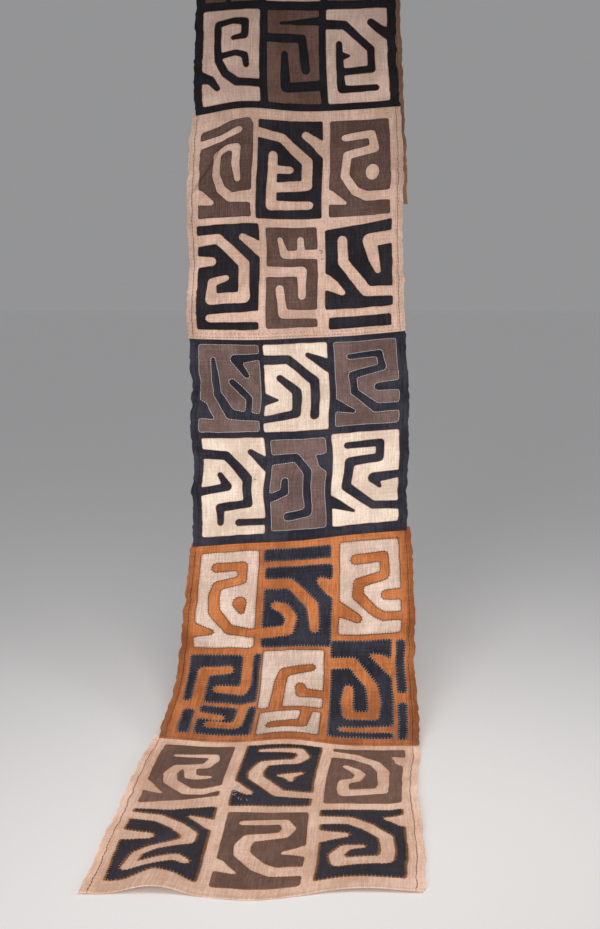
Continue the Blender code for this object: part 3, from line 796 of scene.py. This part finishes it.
# a slanting stitch, and a stitch's turn behind, as places inwards, along the edge and out, in millimetres
SLANT = ((-2.7, 0.8, 0.0), (-1.0, 0.4, 1.0), (1.5, -0.3, 1.85), (3.9, -0.9, 0.7))
TURN_BEHIND = ((-1.0, 0.8, 0.3), (0.6, 0, -0.25), (2.2, -0.8, 0.3))

# panel and colour: stitch pitch and pull on the edge, in millimetres, thread along it, thread over it
EDGING = {
    (5, "black"): (6.6, 2.2, "golden", "golden"),
    (5, "brown"): (6.0, 0.9, "golden", None),
    (4, "black"): (6.8, 1.9, "slate", "pale blue"),
    (4, "cream"): (6.6, 1.2, "dark brown", "dark brown"),
    (3, "cream"): (6.0, 0.5, "russet", None),
    (3, "brown"): (6.0, 0.4, "pale", None),
    (2, "brown"): (6.0, 0.5, "dark brown", None),
    (2, "black"): (5.8, 1.3, "golden", None),
    (1, "cream"): (6.0, 0.5, "russet", None),
    (1, "brown"): (6.0, 0.4, "dark brown", None),
    (0, "black"): (6.0, 0.8, "golden", None),
    (0, "brown"): (6.0, 0.5, "dark brown", None),
}
print("kinds of edge:", len(EDGING))

# %% A thread along the edge, and slanting stitches over it
stitches = {}  # panel and thread: the stitches to make, as flat paths


def add_stitches(number, thread, paths):
    """Keeps stitches of one thread on one panel, as flat paths, until they are all made at once."""
    stitches.setdefault((number, thread, paths.shape[1]), []).append(paths)


def sew_edge(number, cutting, loop, along_thread, over_thread, seed):
    """A thread along the edge and, on some motifs, slanting stitches over it."""
    draws = np.random.default_rng(seed)
    inward = cutting.inward(loop)
    sideways = np.column_stack((inward[:, 1], -inward[:, 0]))

    def at(which, into, across, out):
        places = loop[which] + inward[which] * into * MM + sideways[which] * across * MM
        return np.column_stack((places, np.broadcast_to(out, (len(which),))))

    dips = np.arange(0, len(loop), POINTS_A_STITCH)
    next_dips = (dips + POINTS_A_STITCH) % len(loop)
    middle = (at((dips + 1) % len(loop), 0, 0, 0) + at((dips + 2) % len(loop), 0, 0, 0)) / 2
    middle[:, 2] = SHEET + PUFF
    ends = [at(dips, 0.3, 0, SHEET + 0.75 * MM), at(next_dips, 0.3, 0, SHEET + 0.75 * MM)]
    add_stitches(number, along_thread, np.stack((ends[0], middle, ends[1]), 1))
    if over_thread:
        lean = draws.normal(0, 0.35, len(dips))[:, None] * sideways[dips] * MM
        lean = np.column_stack((lean, np.zeros(len(dips))))
        paths = [at(dips, into, across, SHEET + out * MM) for into, across, out in SLANT]
        paths[0], paths[-1] = paths[0] + lean, paths[-1] - lean
        add_stitches(number, over_thread, np.stack(paths, 1))
    reverse = [at(dips, into, across, out * MM) for into, across, out in TURN_BEHIND]
    add_stitches(number, along_thread, np.stack(reverse, 1))


print("a slanting stitch has", len(SLANT), "points")

# %% The middle of a piece
def turns_right(loop):
    """Whether a loop runs round a hole."""
    after = np.roll(loop, -1, axis=0)
    return (loop[:, 0] * after[:, 1] - loop[:, 1] * after[:, 0]).sum() < 0


def fill_inside(cutting, loops):
    """Triangles for the middle of a piece: its inner loops and a lattice of points between them."""
    points, edges = [], []
    for loop in loops:
        first, count = len(points), len(loop)
        points.extend(loop)
        edges.extend((first + k, first + (k + 1) % count) for k in range(count))
    rim_count = len(points)
    low, high = cutting.origin, cutting.origin + np.array(cutting.field.shape) * GRID
    lines = (np.arange(a, b, LATTICE) for a, b in zip(low, high))
    lattice = np.stack(np.meshgrid(*lines, indexing="ij"), -1).reshape(-1, 2)
    points.extend(lattice[cutting.read(cutting.field, lattice) > TURN_IN + LATTICE * 0.45])
    in_mm = [Vector((x / MM, y / MM)) for x, y in points]
    placed, _, faces, sources, _, _ = delaunay_2d_cdt(in_mm, edges, [], 2, 1e-4)
    extra = [k for k, source in enumerate(sources) if not source]
    index = {k: source[0] for k, source in enumerate(sources) if source}
    for k in extra:
        index[k] = len(points)
        points.append(np.array(placed[k]) * MM)
    holes_are = [k if turns_right(loop) else -1 for k, loop in enumerate(loops)]
    of_hole = np.repeat(holes_are, [len(loop) for loop in loops])
    kept = []  # without the triangles that would close a hole
    for face in ([index[k] for k in face] for face in faces):
        holes = {of_hole[k] if k < rim_count else -1 for k in face}
        if len(holes) > 1 or -1 in holes:
            kept.append(face)
    return np.array(points), rim_count, kept


square = np.array(((0, 0), (1, 0), (1, 1), (0, 1)))
print("a square turns right:", turns_right(square), "and backwards:", turns_right(square[::-1]))

# %% The pieces of raffia, each a closed mesh with its turned edge
motifs = {}  # panel: its motif objects


def cut_motif(panel, place, colour, box, chart, seed):
    """One motif: outline, turned ridge, slightly domed middle and flat underside, then its stitches."""
    pitch, pull, along_thread, over_thread = EDGING[panel.number, colour]
    cutting = Cutting(box, chart, seed)
    loops = [evenly(loop, pitch * MM) for loop in cutting.edges() if len(loop) > SHORTEST_LOOP]
    loops = [cutting.move_in(loop, 0.2 * MM, 1) for loop in loops]
    draws = np.random.default_rng(seed)
    for loop in loops:
        pulls = pull * MM * draws.uniform(WEAKEST_PULL, STRONGEST_PULL, (len(loop) // POINTS_A_STITCH, 1))
        loop[::POINTS_A_STITCH] = cutting.move_in(loop[::POINTS_A_STITCH], pulls, 2)
    turned = [cutting.move_in(loop, RIDGE, 2) for loop in loops]
    inner = [cutting.move_in(loop, TURN_IN - RIDGE, 4) for loop in turned]
    points, rim_count, middle = fill_inside(cutting, inner)
    outer, ridge = np.concatenate(loops), np.concatenate(turned)
    depth = cutting.read(cutting.field, points)
    bumps = 0.12 * MM * uneven(seed, 0.009, points[:, 0], points[:, 1])
    near_edge = np.exp(-np.maximum(depth - TURN_IN, 0) / TURN_IN)
    height = FLAT_PART + (PUFF - FLAT_PART) * near_edge + bumps
    lift = SHEET + lap_lift(panel, points[:, 1])
    layers = (
        np.column_stack((outer, np.full(len(outer), SHEET + SEAT))),
        np.column_stack((ridge, np.full(len(ridge), SHEET + 0.85 * PUFF))),
        np.column_stack((points, lift + height)),
        np.column_stack((points, lift + SEAT * 0.6)),
    )
    flat = np.concatenate(layers)
    starts = np.cumsum([0] + [len(layer) for layer in layers])
    faces = [[k + starts[2] for k in face] for face in middle]
    faces += [[k + starts[3] for k in face[::-1]] for face in middle]
    first = 0
    for loop in loops:
        here = first + np.arange(len(loop))
        after = np.roll(here, -1)
        for a, b in ((starts[0], starts[1]), (starts[1], starts[2]), (starts[3], starts[0])):
            faces.extend(np.column_stack((here + a, after + a, after + b, here + b)).tolist())
        first += len(loop)
    inside = np.concatenate((np.zeros(len(outer)), np.full(len(ridge), RIDGE), depth, depth))
    grain = np.column_stack((flat[:, :2], inside))
    made = make_piece(f"motif_{panel.number}_{place}_raffia", panel, flat, faces, grain)
    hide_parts(f"motif_{panel.number}_{place}")
    made["colour"] = colour
    motifs.setdefault(panel.number, []).append(made)
    for loop in loops:
        sew_edge(panel.number, cutting, loop, along_thread, over_thread, seed)


for seed, line in enumerate(MOTIFS.strip().splitlines(), 100):
    number, place, colour, *rest = line.split()
    box = [float(x) for x in rest[:4]]
    chart = rest[4] if len(rest) > 4 else f"{number}_{place}"
    cut_motif(panels[int(number)], place, colour, box, chart, seed)
print("motifs:", sum(map(len, motifs.values())), "so far", sum(triangles.values()), "triangles")

# %% [markdown]
# ## The long seams
#
# The hems are sewn with a dark running stitch that wanders a little, and so is each lap where one panel
# lies on the next. The second panel has one more line of it in its lower band. The stitches go to the
# back in between.

# %% Running stitches along the hems and across the seams
HEM_STITCH, HEM_GAP = 7.0 * MM, 3.0 * MM
SEAM_STITCH, SEAM_GAP = 4.5 * MM, 3.2 * MM
BAND_GAP = 7.5 * MM
SEAM_ROW, BAND_ROW = 0.0035, 0.0130  # how far up from a panel's lower end these rows run
SEAM_THREADS = {2: "dark brown"}  # the others are black
END_GAP = 0.004  # a line of stitches starts and stops this far from a corner


def running_stitches(number, thread, line, stitch, gap, rise):
    """Stitches along a line of flat points, bowed a little above the cloth, and their turns behind it."""
    steps = np.concatenate(([0], np.cumsum(np.linalg.norm(np.diff(line[:, :2], axis=0), axis=1))))
    starts = np.arange(gap, steps[-1] - stitch, stitch + gap)
    starts = starts + np.random.default_rng(number + 7).normal(0, 0.12 * gap, len(starts))
    parts = ((0, -0.35), (0.25, rise), (0.75, rise), (1, -0.35))

    def at(places):
        return np.column_stack([np.interp(places, steps, line[:, k]) for k in range(3)])

    rows = [at(starts + share * stitch) for share, _ in parts]
    for row, (_, lift) in zip(rows, parts):
        row[:, 2] += lift * MM
    add_stitches(number, thread, np.stack(rows, 1))
    back = [at(starts + stitch + share * gap) for share in (0, 0.5, 1)]
    for row, lift in zip(back, (0.4, -0.3, 0.4)):
        row[:, 2] = lift * MM
    add_stitches(number, thread, np.stack(back, 1))


def sew_line(panel, thread, across, along, stitch, gap, rise):
    """Running stitches on a panel's face."""
    top = thickness(panel, across, along) + lap_lift(panel, along)
    running_stitches(panel.number, thread, np.column_stack((across, along, top)), stitch, gap, rise)


for number, panel in panels.items():
    stop = 0.002 if number == BACK else LAP_BELOW + HEM_STOP + 0.002
    along = spaced(max(panel.first, 0) + END_GAP, panel.length - stop, 3 * MM)
    for side in (0, 1):
        inner = STITCH_LINE + 0.9 * MM * uneven(70 + number, 0.014, along, side * 0.07)
        across = np.where(side, WIDTH - inner, inner)
        sew_line(panel, "black", across, along, HEM_STITCH, HEM_GAP, 0.25)
    across = spaced(END_GAP, WIDTH - END_GAP, 3 * MM)
    if number != FRONT:
        along = SEAM_ROW + 0.8 * MM * uneven(80 + number, 0.018, across)
        sew_line(panel, SEAM_THREADS.get(number, "black"), across, along, SEAM_STITCH, SEAM_GAP, 0.3)
    if number == 2:
        along = BAND_ROW + 1.6 * MM * uneven(90, 0.06, across)
        sew_line(panel, "dark brown", across, along, SEAM_STITCH, BAND_GAP, 0.2)
print("lines of stitches:", sum(map(len, stitches.values())))

# %% [markdown]
# ## Loose ends
#
# Here and there a thread's end was left hanging, and one place has frayed into a tuft. Hair particles
# would make ends of one kind everywhere. These few are listed one by one, where the photograph shows
# them, and each bends a little its own way.

# %% Loose ends that the maker left, from where each starts on its panel
LOOSE_ENDS = """
  panel across along thread  turn length
      2    352   236 black    160     11
      2    354   216 black    200      9
      2    346   228 black     75      8
      3    168   168 black    210     10
      4     24   548 golden    20     15
      4     30   540 golden    95     12
      4    533   548 black    150     12
      4     92   262 black     80      9
      5    215   346 pale_blue 170     11
      5    216   354 pale_blue 192     10
      5    214   361 pale_blue 165     12
      5    217   368 pale_blue 185     11
      5    213   375 pale_blue 160     10
      5    218   383 pale_blue 178     11
      5    216   390 pale_blue 200      9
      5    226   338 pale_blue 250     10
      5    234   334 pale_blue 285      9
      5    222   342 pale_blue 230     11
"""
for row, line in enumerate(LOOSE_ENDS.strip().splitlines()[1:]):
    number, across, along, thread, turn, length = line.split()
    thread = thread.replace("_", " ")
    share = np.linspace(0, 1, 8)
    bend = math.radians(float(turn)) + share * np.random.default_rng(row).uniform(-1.6, 1.6)
    steps = float(length) * MM / (len(share) - 1) * np.column_stack((np.cos(bend), np.sin(bend)))
    flat = np.cumsum(steps, axis=0) + np.array((float(across), float(along))) * MM
    rise = SHEET + (1.3 + 1.5 * np.sin(share * math.pi)) * MM
    add_stitches(int(number), thread, np.column_stack((flat, rise))[None])
print("loose ends:", row + 1)

# %% [markdown]
# ## Thread
#
# A stitch seen close is a short soft spindle: it comes up through the cloth, lies over it and goes down
# again. All the stitches of one thread on one panel are made together, from arrays, which is quick and
# keeps them in one object.

# %% Spindles along the stitches' paths
SIDES = 4
THREAD_RADIUS = {"golden": 0.56, "pale blue": 0.52, "dark brown": 0.68, "russet": 0.95, "pale": 1.0}
PLAIN_RADIUS = 0.6


def spindles(paths, radius):
    """Four-sided spindles along many paths at once: their points and faces."""
    count, steps, _ = paths.shape
    heading = paths[:, 2:] - paths[:, :-2]
    heading /= np.maximum(np.linalg.norm(heading, axis=2, keepdims=True), 1e-9)
    side = np.cross(heading, (0, 0, 1.0))
    side /= np.maximum(np.linalg.norm(side, axis=2, keepdims=True), 1e-9)
    up = np.cross(side, heading)
    turns = np.arange(SIDES) * 2 * math.pi / SIDES
    around = side[:, :, None] * np.cos(turns)[:, None] + up[:, :, None] * np.sin(turns)[:, None]
    rings = (paths[:, 1:-1, None] + radius * around).reshape(count, -1, 3)
    points = np.concatenate((paths[:, :1], rings, paths[:, -1:]), axis=1)
    rings_each = steps - 2
    tip = SIDES * rings_each + 1
    round_by = [(k, (k + 1) % SIDES) for k in range(SIDES)]
    fans = [(0, 1 + b, 1 + a) for a, b in round_by]
    fans += [(tip, tip - SIDES + a, tip - SIDES + b) for a, b in round_by]
    sides = []
    for ring in range(1, 1 + SIDES * (rings_each - 1), SIDES):
        sides += [(ring + a, ring + b, ring + SIDES + b, ring + SIDES + a) for a, b in round_by]
    offsets = (np.arange(count) * points.shape[1])[:, None, None]
    faces = (np.array(fans)[None] + offsets).reshape(-1, 3).tolist()
    if sides:
        faces += (np.array(sides)[None] + offsets).reshape(-1, 4).tolist()
    return points.reshape(-1, 3), faces


one_path = np.array([[(0, 0, 0), (1, 0, 1), (2, 0, 1), (3, 0, 0)]]) * MM
print("a stitch of four points has", len(spindles(one_path, PLAIN_RADIUS * MM)[1]), "faces")

# %% All the stitches of one thread on one panel, as one object
threads = {}
for number, thread in sorted({key[:2] for key in stitches}):
    points, faces, first = [], [], 0
    radius = THREAD_RADIUS.get(thread, PLAIN_RADIUS) * MM
    for (panel_number, name, _), groups in stitches.items():
        if (panel_number, name) == (number, thread):
            more, more_faces = spindles(np.concatenate(groups), radius)
            faces += [[k + first for k in face] for face in more_faces]
            points.append(more)
            first += len(more)
    flat = np.concatenate(points)
    name = f"thread_{number}_{thread.replace(' ', '_')}"
    made = make_piece(name, panels[number], flat, faces, flat)
    made["colour"] = thread
    threads.setdefault(number, []).append(made)
print("threads:", sum(map(len, threads.values())), "in all", sum(triangles.values()), "triangles")
print("largest piece:", max(triangles.items(), key=lambda entry: entry[1]))

# %% [markdown]
# ## Raffia
#
# Raffia is woven from strips of palm leaf, over one and under one, about eight strips to the centimetre.
# No two strips are the same width or colour, so the cloth is streaky both ways, and it has faded and
# rubbed unevenly. The material is written as a formula on the flat places of the cloth. A small class
# wraps a socket, so that sums of sockets read as sums.

# %% Sockets that can be added and multiplied
class Wire:
    """A socket that reads as a value in an expression."""

    def __init__(self, tree, socket):
        self.tree, self.socket = tree, socket

    def node(self, kind, settings, sockets, output=0):
        """Any node: its settings first, then a value or a wire for each socket, by number or name."""
        made = self.tree.nodes.new("ShaderNode" + kind)
        for name, value in settings.items():
            setattr(made, name, value)
        for key, value in sockets.items():
            if isinstance(value, Wire):
                self.tree.links.new(value.socket, made.inputs[key])
            else:
                made.inputs[key].default_value = value
        return Wire(self.tree, made.outputs[output])

    def math(self, operation, *others):
        """Any Math node, with this as its first value."""
        return self.node("Math", {"operation": operation}, dict(enumerate((self, *others))))

    def __add__(self, other):
        return self.math("ADD", other)

    def __sub__(self, other):
        return self.math("SUBTRACT", other)

    def __rsub__(self, other):
        return self.node("Math", {"operation": "SUBTRACT"}, {0: other, 1: self})

    def __mul__(self, other):
        return self.math("MULTIPLY", other)

    def __truediv__(self, other):
        return self.math("DIVIDE", other)

    __radd__, __rmul__ = __add__, __mul__

    def ramp(self, low, high, start=0.0, end=1.0):
        """From start to end as this goes from low to high, smoothly."""
        sockets = {0: self, 1: low, 2: high, 3: start, 4: end}
        return self.node("MapRange", {"interpolation_type": "SMOOTHSTEP"}, sockets)

    def blend(self, first, second):
        """The first value or colour where this is 0, the second where it is 1."""
        return self.node("Mix", {"data_type": "RGBA"}, {0: self, 6: first, 7: second}, 2)


OPERATORS = ("add", "sub", "mul", "truediv")
print("a Wire can", [name for name in OPERATORS if hasattr(Wire, f"__{name}__")])

# %% Noise, random values and a new material
def noise(across, along, seed, detail=2.0):
    """Soft noise about 0, from sizes already divided out of the places."""
    places = across.node("CombineXYZ", {}, {0: across, 1: along, 2: seed * 7.3})
    sockets = {"Vector": places, "Scale": 1.0, "Detail": detail, "Roughness": 0.55}
    return places.node("TexNoise", {}, sockets) - 0.5


def random_for(number, seed):
    """One random value about 0 for each whole number."""
    return number.node("TexWhiteNoise", {"noise_dimensions": "1D"}, {"W": number + seed * 1000.0}) - 0.5


def new_material(name):
    """A material, its shader, and the flat place and distance in from the edge, as three wires."""
    material = bpy.data.materials.new(name)
    material.use_nodes = True
    shader = material.node_tree.nodes["Principled BSDF"]
    places = material.node_tree.nodes.new("ShaderNodeAttribute")
    places.attribute_name = "grain"
    grain = Wire(material.node_tree, places.outputs["Vector"])
    return material, shader, [grain.node("SeparateXYZ", {}, {0: grain}, k) for k in range(3)]


print("meshes with a grain attribute:", sum("grain" in mesh.attributes for mesh in bpy.data.meshes))

# %% [markdown]
# The weave is worked out strip by strip. The place divided by a strip's width gives the strip's number
# and how far across it a point is, a cosine makes it round, and the sum of the two numbers, odd or even,
# says which strip is on top. An image would blur close up and repeat far off. The numbers also give each
# strip its own tint, and noise drawn out along the strips makes the streaks. Over that, the hems are toned
# darker or lighter from panel to panel, there is dirt along the line where they are sewn, and painted
# shade darkens that line, the gaps between the strips and the line of a fold, with a painted highlight
# beside it.

# %% The woven material
STRIP = 1.25 * MM
FOLD_SHADE_SPREAD = 7 * MM  # how far a fold's painted shade fades out on each side
PAINTED_HIGHLIGHT_SHIFT = 0.010  # how far beside it the painted highlight is


def painted_fold_shade(across, along, start, end):
    """Painted shade along a fold that was pressed in between two places, and a painted highlight beside
    it.
    """
    way = np.subtract(end, start)
    length = float(np.hypot(*way))
    way = way / length
    from_start = ((across - start[0]) * float(way[0]) + (along - start[1]) * float(way[1])) / length
    beside = (across - start[0]) * float(way[1]) - (along - start[1]) * float(way[0])
    beside = beside + 8 * MM * noise(across / 0.02, along / 0.02, 77)
    fade = from_start.ramp(-0.05, 0.25) * (1 - from_start.ramp(0.75, 1.05))
    # painted shade along the fold, and a painted highlight on the lit ridge beside it
    line = beside.math("ABSOLUTE").ramp(0.6 * MM, FOLD_SHADE_SPREAD, 0.36, 0.0)
    ridge = (beside + PAINTED_HIGHLIGHT_SHIFT).math("ABSOLUTE").ramp(1 * MM, 9 * MM, 0.12, 0.0)
    return 1 - fade * (line - ridge)


print("a fold's line is", round(2 * FOLD_SHADE_SPREAD / MM), "mm wide")

# %% Raffia, woven from numbers
def raffia(name, colour, second, streak, seed, hem_tone, fold):
    """Plain-woven raffia in a colour that wanders towards a second one; streak sets how uneven it is."""
    material, shader, (across, along, inside) = new_material(name)
    skewed = across + 3.0 * MM * noise(across / 0.09, along / 0.09, seed)
    slanted = along + 3.0 * MM * noise(across / 0.09, along / 0.09, seed + 1)
    warp, weft = (place / STRIP + 4000.0 for place in (skewed, slanted))  # the 4000 keeps them above zero
    warp_turn, weft_turn = warp.math("FLOOR"), weft.math("FLOOR")
    sign = 1 - 2 * (warp_turn + weft_turn).math("PINGPONG", 1.0)
    round_warp = ((warp - warp_turn - 0.5) * math.pi).math("COSINE")
    round_weft = ((weft - weft_turn - 0.5) * math.pi).math("COSINE")
    warp_top = round_warp * (0.55 + 0.45 * sign * round_weft)
    weft_top = round_weft * (0.55 - 0.45 * sign * round_warp)
    surface = warp_top.math("MAXIMUM", weft_top)
    warp_over = warp_top.math("GREATER_THAN", weft_top)
    warp_tint, weft_tint = random_for(warp_turn, 5.0), random_for(weft_turn, 3.0)
    strips = weft_tint + warp_over * (warp_tint - weft_tint)
    warp_streaks = noise(across / 0.0030, along / 0.035, seed + 2)
    weft_streaks = noise(across / 0.030, along / 0.0032, seed + 3)
    wide_streaks = noise(across / 0.010, along / 0.16, seed + 4)
    wide_streaks = wide_streaks + noise(across / 0.14, along / 0.011, seed + 5)
    fading = noise(across / 0.09, along / 0.09, seed + 6, 4.0)
    mottle = noise(across / 0.0042, along / 0.0042, seed + 7, 3.0)
    tone = 1 + streak * (0.45 * strips + 1.3 * warp_streaks + 1.5 * weft_streaks + 0.40 * wide_streaks)
    tone = tone + 2.4 * streak * mottle + 0.45 * fading
    inner = across.math("MINIMUM", WIDTH - across)
    from_stitches = (inner - STITCH_LINE).math("ABSOLUTE")
    tone = tone * (inner + 12 * MM * fading).ramp(0.006, 0.030, hem_tone, 1.0)
    # darker along the line where the hems are sewn: painted shade in the stitch groove, and dirt there too
    tone = tone * from_stitches.ramp(0.3 * MM, 2.2 * MM, 0.66, 1.0)
    # painted shade and highlight along a fold, where the panel has one
    if fold:
        tone = tone * painted_fold_shade(across, along, *fold)
    # painted shade in the low places between the strips and a little painted highlight on their tops; also
    # darker within 3.5 mm of a motif's cut edge
    shade = surface.ramp(0.05, 0.75, 0.74, 1.06) * inside.ramp(0.0, 3.5 * MM, 0.80, 1.0) * tone
    hue = (0.5 + 2.2 * fading + 1.4 * warp_streaks + 0.5 * strips).ramp(0.15, 0.95)
    mixed = hue.blend((*colour, 1), (*second, 1))
    scaled = mixed.node("VectorMath", {"operation": "SCALE"}, {0: mixed, 3: shade})
    material.node_tree.links.new(scaled.socket, shader.inputs["Base Color"])
    shader.inputs["Roughness"].default_value = 0.86
    shader.inputs["Sheen Weight"].default_value = 0.10
    shader.inputs["Specular IOR Level"].default_value = 0.25
    height = surface * 0.22 + 0.20 * mottle + 0.25 * (warp_streaks + weft_streaks)
    bump = height.node("Bump", {}, {"Strength": 0.85, "Distance": MM, "Height": height})
    material.node_tree.links.new(bump.socket, shader.inputs["Normal"])
    return material


print("a strip is", STRIP / MM, "mm wide")

# %% Twisted thread
def thread_material(name, colour):
    """Twisted thread in one colour, a little uneven."""
    material, shader, (across, along, _) = new_material(name)
    tone = 1 + 0.9 * noise(across / 0.012, along / 0.012, 3.0)
    shade = tone.node("VectorMath", {"operation": "SCALE"}, {0: (*colour,), 3: tone})
    material.node_tree.links.new(shade.socket, shader.inputs["Base Color"])
    shader.inputs["Roughness"].default_value = 0.7
    shader.inputs["Specular IOR Level"].default_value = 0.3
    return material


print("materials before any is dyed:", len(bpy.data.materials))

# %% [markdown]
# The dyes differ from panel to panel: the cream is whitest on the third panel and pinkest on the fourth
# and first, the brown is a cold grey brown on the third and a warm one on the front panel, and the black
# ground has a blue cast. Each colour has a second one beside it, towards which it has faded.

# %% The colours of each panel
RAFFIA = {  # panel and colour: colour, second colour, how streaky
    (5, "beige"): ((0.78, 0.48, 0.34), (0.89, 0.62, 0.48), 0.18),
    (5, "black"): ((0.013, 0.011, 0.020), (0.028, 0.023, 0.038), 0.45),
    (5, "brown"): ((0.146, 0.074, 0.050), (0.208, 0.112, 0.080), 0.28),
    (4, "orange"): ((0.42, 0.125, 0.032), (0.60, 0.205, 0.068), 0.25),
    (4, "black"): ((0.016, 0.015, 0.025), (0.036, 0.034, 0.048), 0.45),
    (4, "cream"): ((0.66, 0.47, 0.37), (0.80, 0.62, 0.52), 0.20),
    (3, "black"): ((0.016, 0.015, 0.026), (0.038, 0.036, 0.050), 0.50),
    (3, "cream"): ((0.78, 0.60, 0.47), (0.90, 0.76, 0.62), 0.18),
    (3, "brown"): ((0.142, 0.084, 0.072), (0.200, 0.127, 0.114), 0.36),
    (2, "beige"): ((0.65, 0.42, 0.315), (0.78, 0.54, 0.43), 0.22),
    (2, "black"): ((0.011, 0.009, 0.013), (0.026, 0.023, 0.030), 0.45),
    (2, "brown"): ((0.108, 0.060, 0.046), (0.152, 0.090, 0.072), 0.40),
    (1, "black"): ((0.006, 0.005, 0.008), (0.014, 0.013, 0.019), 0.45),
    (1, "cream"): ((0.66, 0.45, 0.36), (0.78, 0.57, 0.47), 0.20),
    (1, "brown"): ((0.128, 0.066, 0.047), (0.175, 0.096, 0.072), 0.36),
    # the back panel's beige is darkened to a tan: painted shade for the shadow it hangs in behind the
    # front of the cloth
    (0, "beige"): ((0.42, 0.22, 0.125), (0.52, 0.30, 0.19), 0.26),
    (0, "black"): ((0.020, 0.018, 0.026), (0.040, 0.036, 0.046), 0.45),
    (0, "brown"): ((0.140, 0.080, 0.058), (0.190, 0.112, 0.088), 0.40),
}
THREADS = {
    "golden": (0.60, 0.27, 0.070),
    "pale blue": (0.42, 0.46, 0.52),
    "dark brown": (0.026, 0.015, 0.013),
    "russet": (0.36, 0.12, 0.045),
    "pale": (0.95, 0.90, 0.85),
    "slate": (0.060, 0.068, 0.088),
    "black": (0.016, 0.013, 0.015),
}
HEM_TONES = {0: 0.90, 1: 0.92, 2: 0.92, 3: 1.0, 4: 0.64, 5: 1.22}
PAINTED_FOLDS = {2: ((0.092, 0.548), (0.008, 0.396))}  # painted shade and highlight along the diagonal crease of the second panel
cloths = {
    key: raffia(f"raffia_{key[0]}_{key[1]}", *RAFFIA[key], 11.0 * k, HEM_TONES[key[0]], PAINTED_FOLDS.get(key[0]))
    for k, key in enumerate(RAFFIA)
}
dyed = {
    name: thread_material("thread_" + name.replace(" ", "_"), colour) for name, colour in THREADS.items()
}
print("materials:", len(cloths), "cloths and", len(dyed), "threads")

# %% Giving each piece its material
for number, panel in panels.items():
    sheets[number].data.materials.append(cloths[number, panel.colour])
    for piece in motifs[number]:
        piece.data.materials.append(cloths[number, piece["colour"]])
        piece["colour"] + "_raffia"
    for piece in threads[number]:
        piece.data.materials.append(dyed[piece["colour"]])
    held = "laid" if number == FRONT else "draped" if number == 1 else "hung"
    motifs[number] + threads[number]
visual_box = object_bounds()
print("dressed box:", [round(x, 3) for corner in visual_box for x in corner])

# %% [markdown]
# ## The floor, the light and the camera
#
# The cloth was photographed from the front, a little above the height of a table, with soft light that
# falls mostly on the part near the floor. The floor here is plain and pale.

# %% The floor
bpy.ops.mesh.primitive_plane_add(size=600, location=(0, 0, FLOOR_Z - 0.0002))
floor = bpy.context.object
floor.name = "floor"
floor_material = bpy.data.materials.new("floor")
floor_material.use_nodes = True
floor_shader = floor_material.node_tree.nodes["Principled BSDF"]
floor_shader.inputs["Base Color"].default_value = (0.97, 0.97, 0.97, 1)
floor_shader.inputs["Roughness"].default_value = 0.9
floor.data.materials.append(floor_material)
print("floor at", round(FLOOR_Z, 4))

# %% Soft light from all sides, and three lamps
world = bpy.data.worlds.new("studio")
bpy.context.scene.world = world
world.use_nodes = True
world.node_tree.nodes["Background"].inputs["Color"].default_value = (0.95, 0.95, 0.97, 1)
world.node_tree.nodes["Background"].inputs["Strength"].default_value = 0.31

LOW_DROP = (0, -0.5, -1.5)  # the hanging part's lower third


def soft_light(name, location, target, size, watts, spread, colour=(1, 1, 1)):
    """A square lamp that looks at a place; spread is how wide its beam is, in degrees."""
    light = bpy.data.lights.new(name, "AREA")
    light.color = colour
    light.shape, light.size, light.energy = "SQUARE", size, watts
    made = bpy.data.objects.new(name, light)
    bpy.context.collection.objects.link(made)
    made.location = location
    made.rotation_euler = (Vector(target) - Vector(location)).to_track_quat("-Z", "Y").to_euler()
    light.spread = math.radians(spread)


soft_light("front", (-1.1, -3.4, -0.9), LOW_DROP, 1.2, 6.7, 66)
soft_light("over the train", (0.3, -1.9, 0.2), (0, -1.2, FLOOR_Z), 1.2, 7.9, 120, (1.0, 0.93, 0.87))
soft_light("low side", (2.2, -2.2, -1.0), LOW_DROP, 1.0, 3.3, 80)
print("lamps:", [light.name for light in bpy.data.lights])

# %% The camera
LENS_HEIGHT, LENS_DISTANCE = 0.954, 3.024  # above the floor, and in front of the fold
LOOKS_DOWN = 8.6  # degrees
camera = bpy.data.objects.new("camera", bpy.data.cameras.new("camera"))
bpy.context.collection.objects.link(camera)
camera.location = (0, FOLD_START_Y - LENS_DISTANCE, FLOOR_Z + LENS_HEIGHT)
camera.rotation_euler = (math.radians(90 - LOOKS_DOWN), 0, 0)
camera.data.lens = 40.107
camera.data.sensor_width = 36
bpy.context.scene.camera = camera
bpy.context.scene.view_settings.view_transform = "Standard"
print("camera at", [round(x, 3) for x in camera.location])

# %% [markdown]
# ## The sizes
#
# The boxes of the imported solids and of the dressed cloth are compared, to show that the
# dressing stays on the solids.

# %% The sizes, compared
past = max(abs(a - b) for ends in zip(visual_box, cad_box) for a, b in zip(*ends))
print("the dressed cloth's box is within", round(past / MM, 1), "mm of the solids' box")
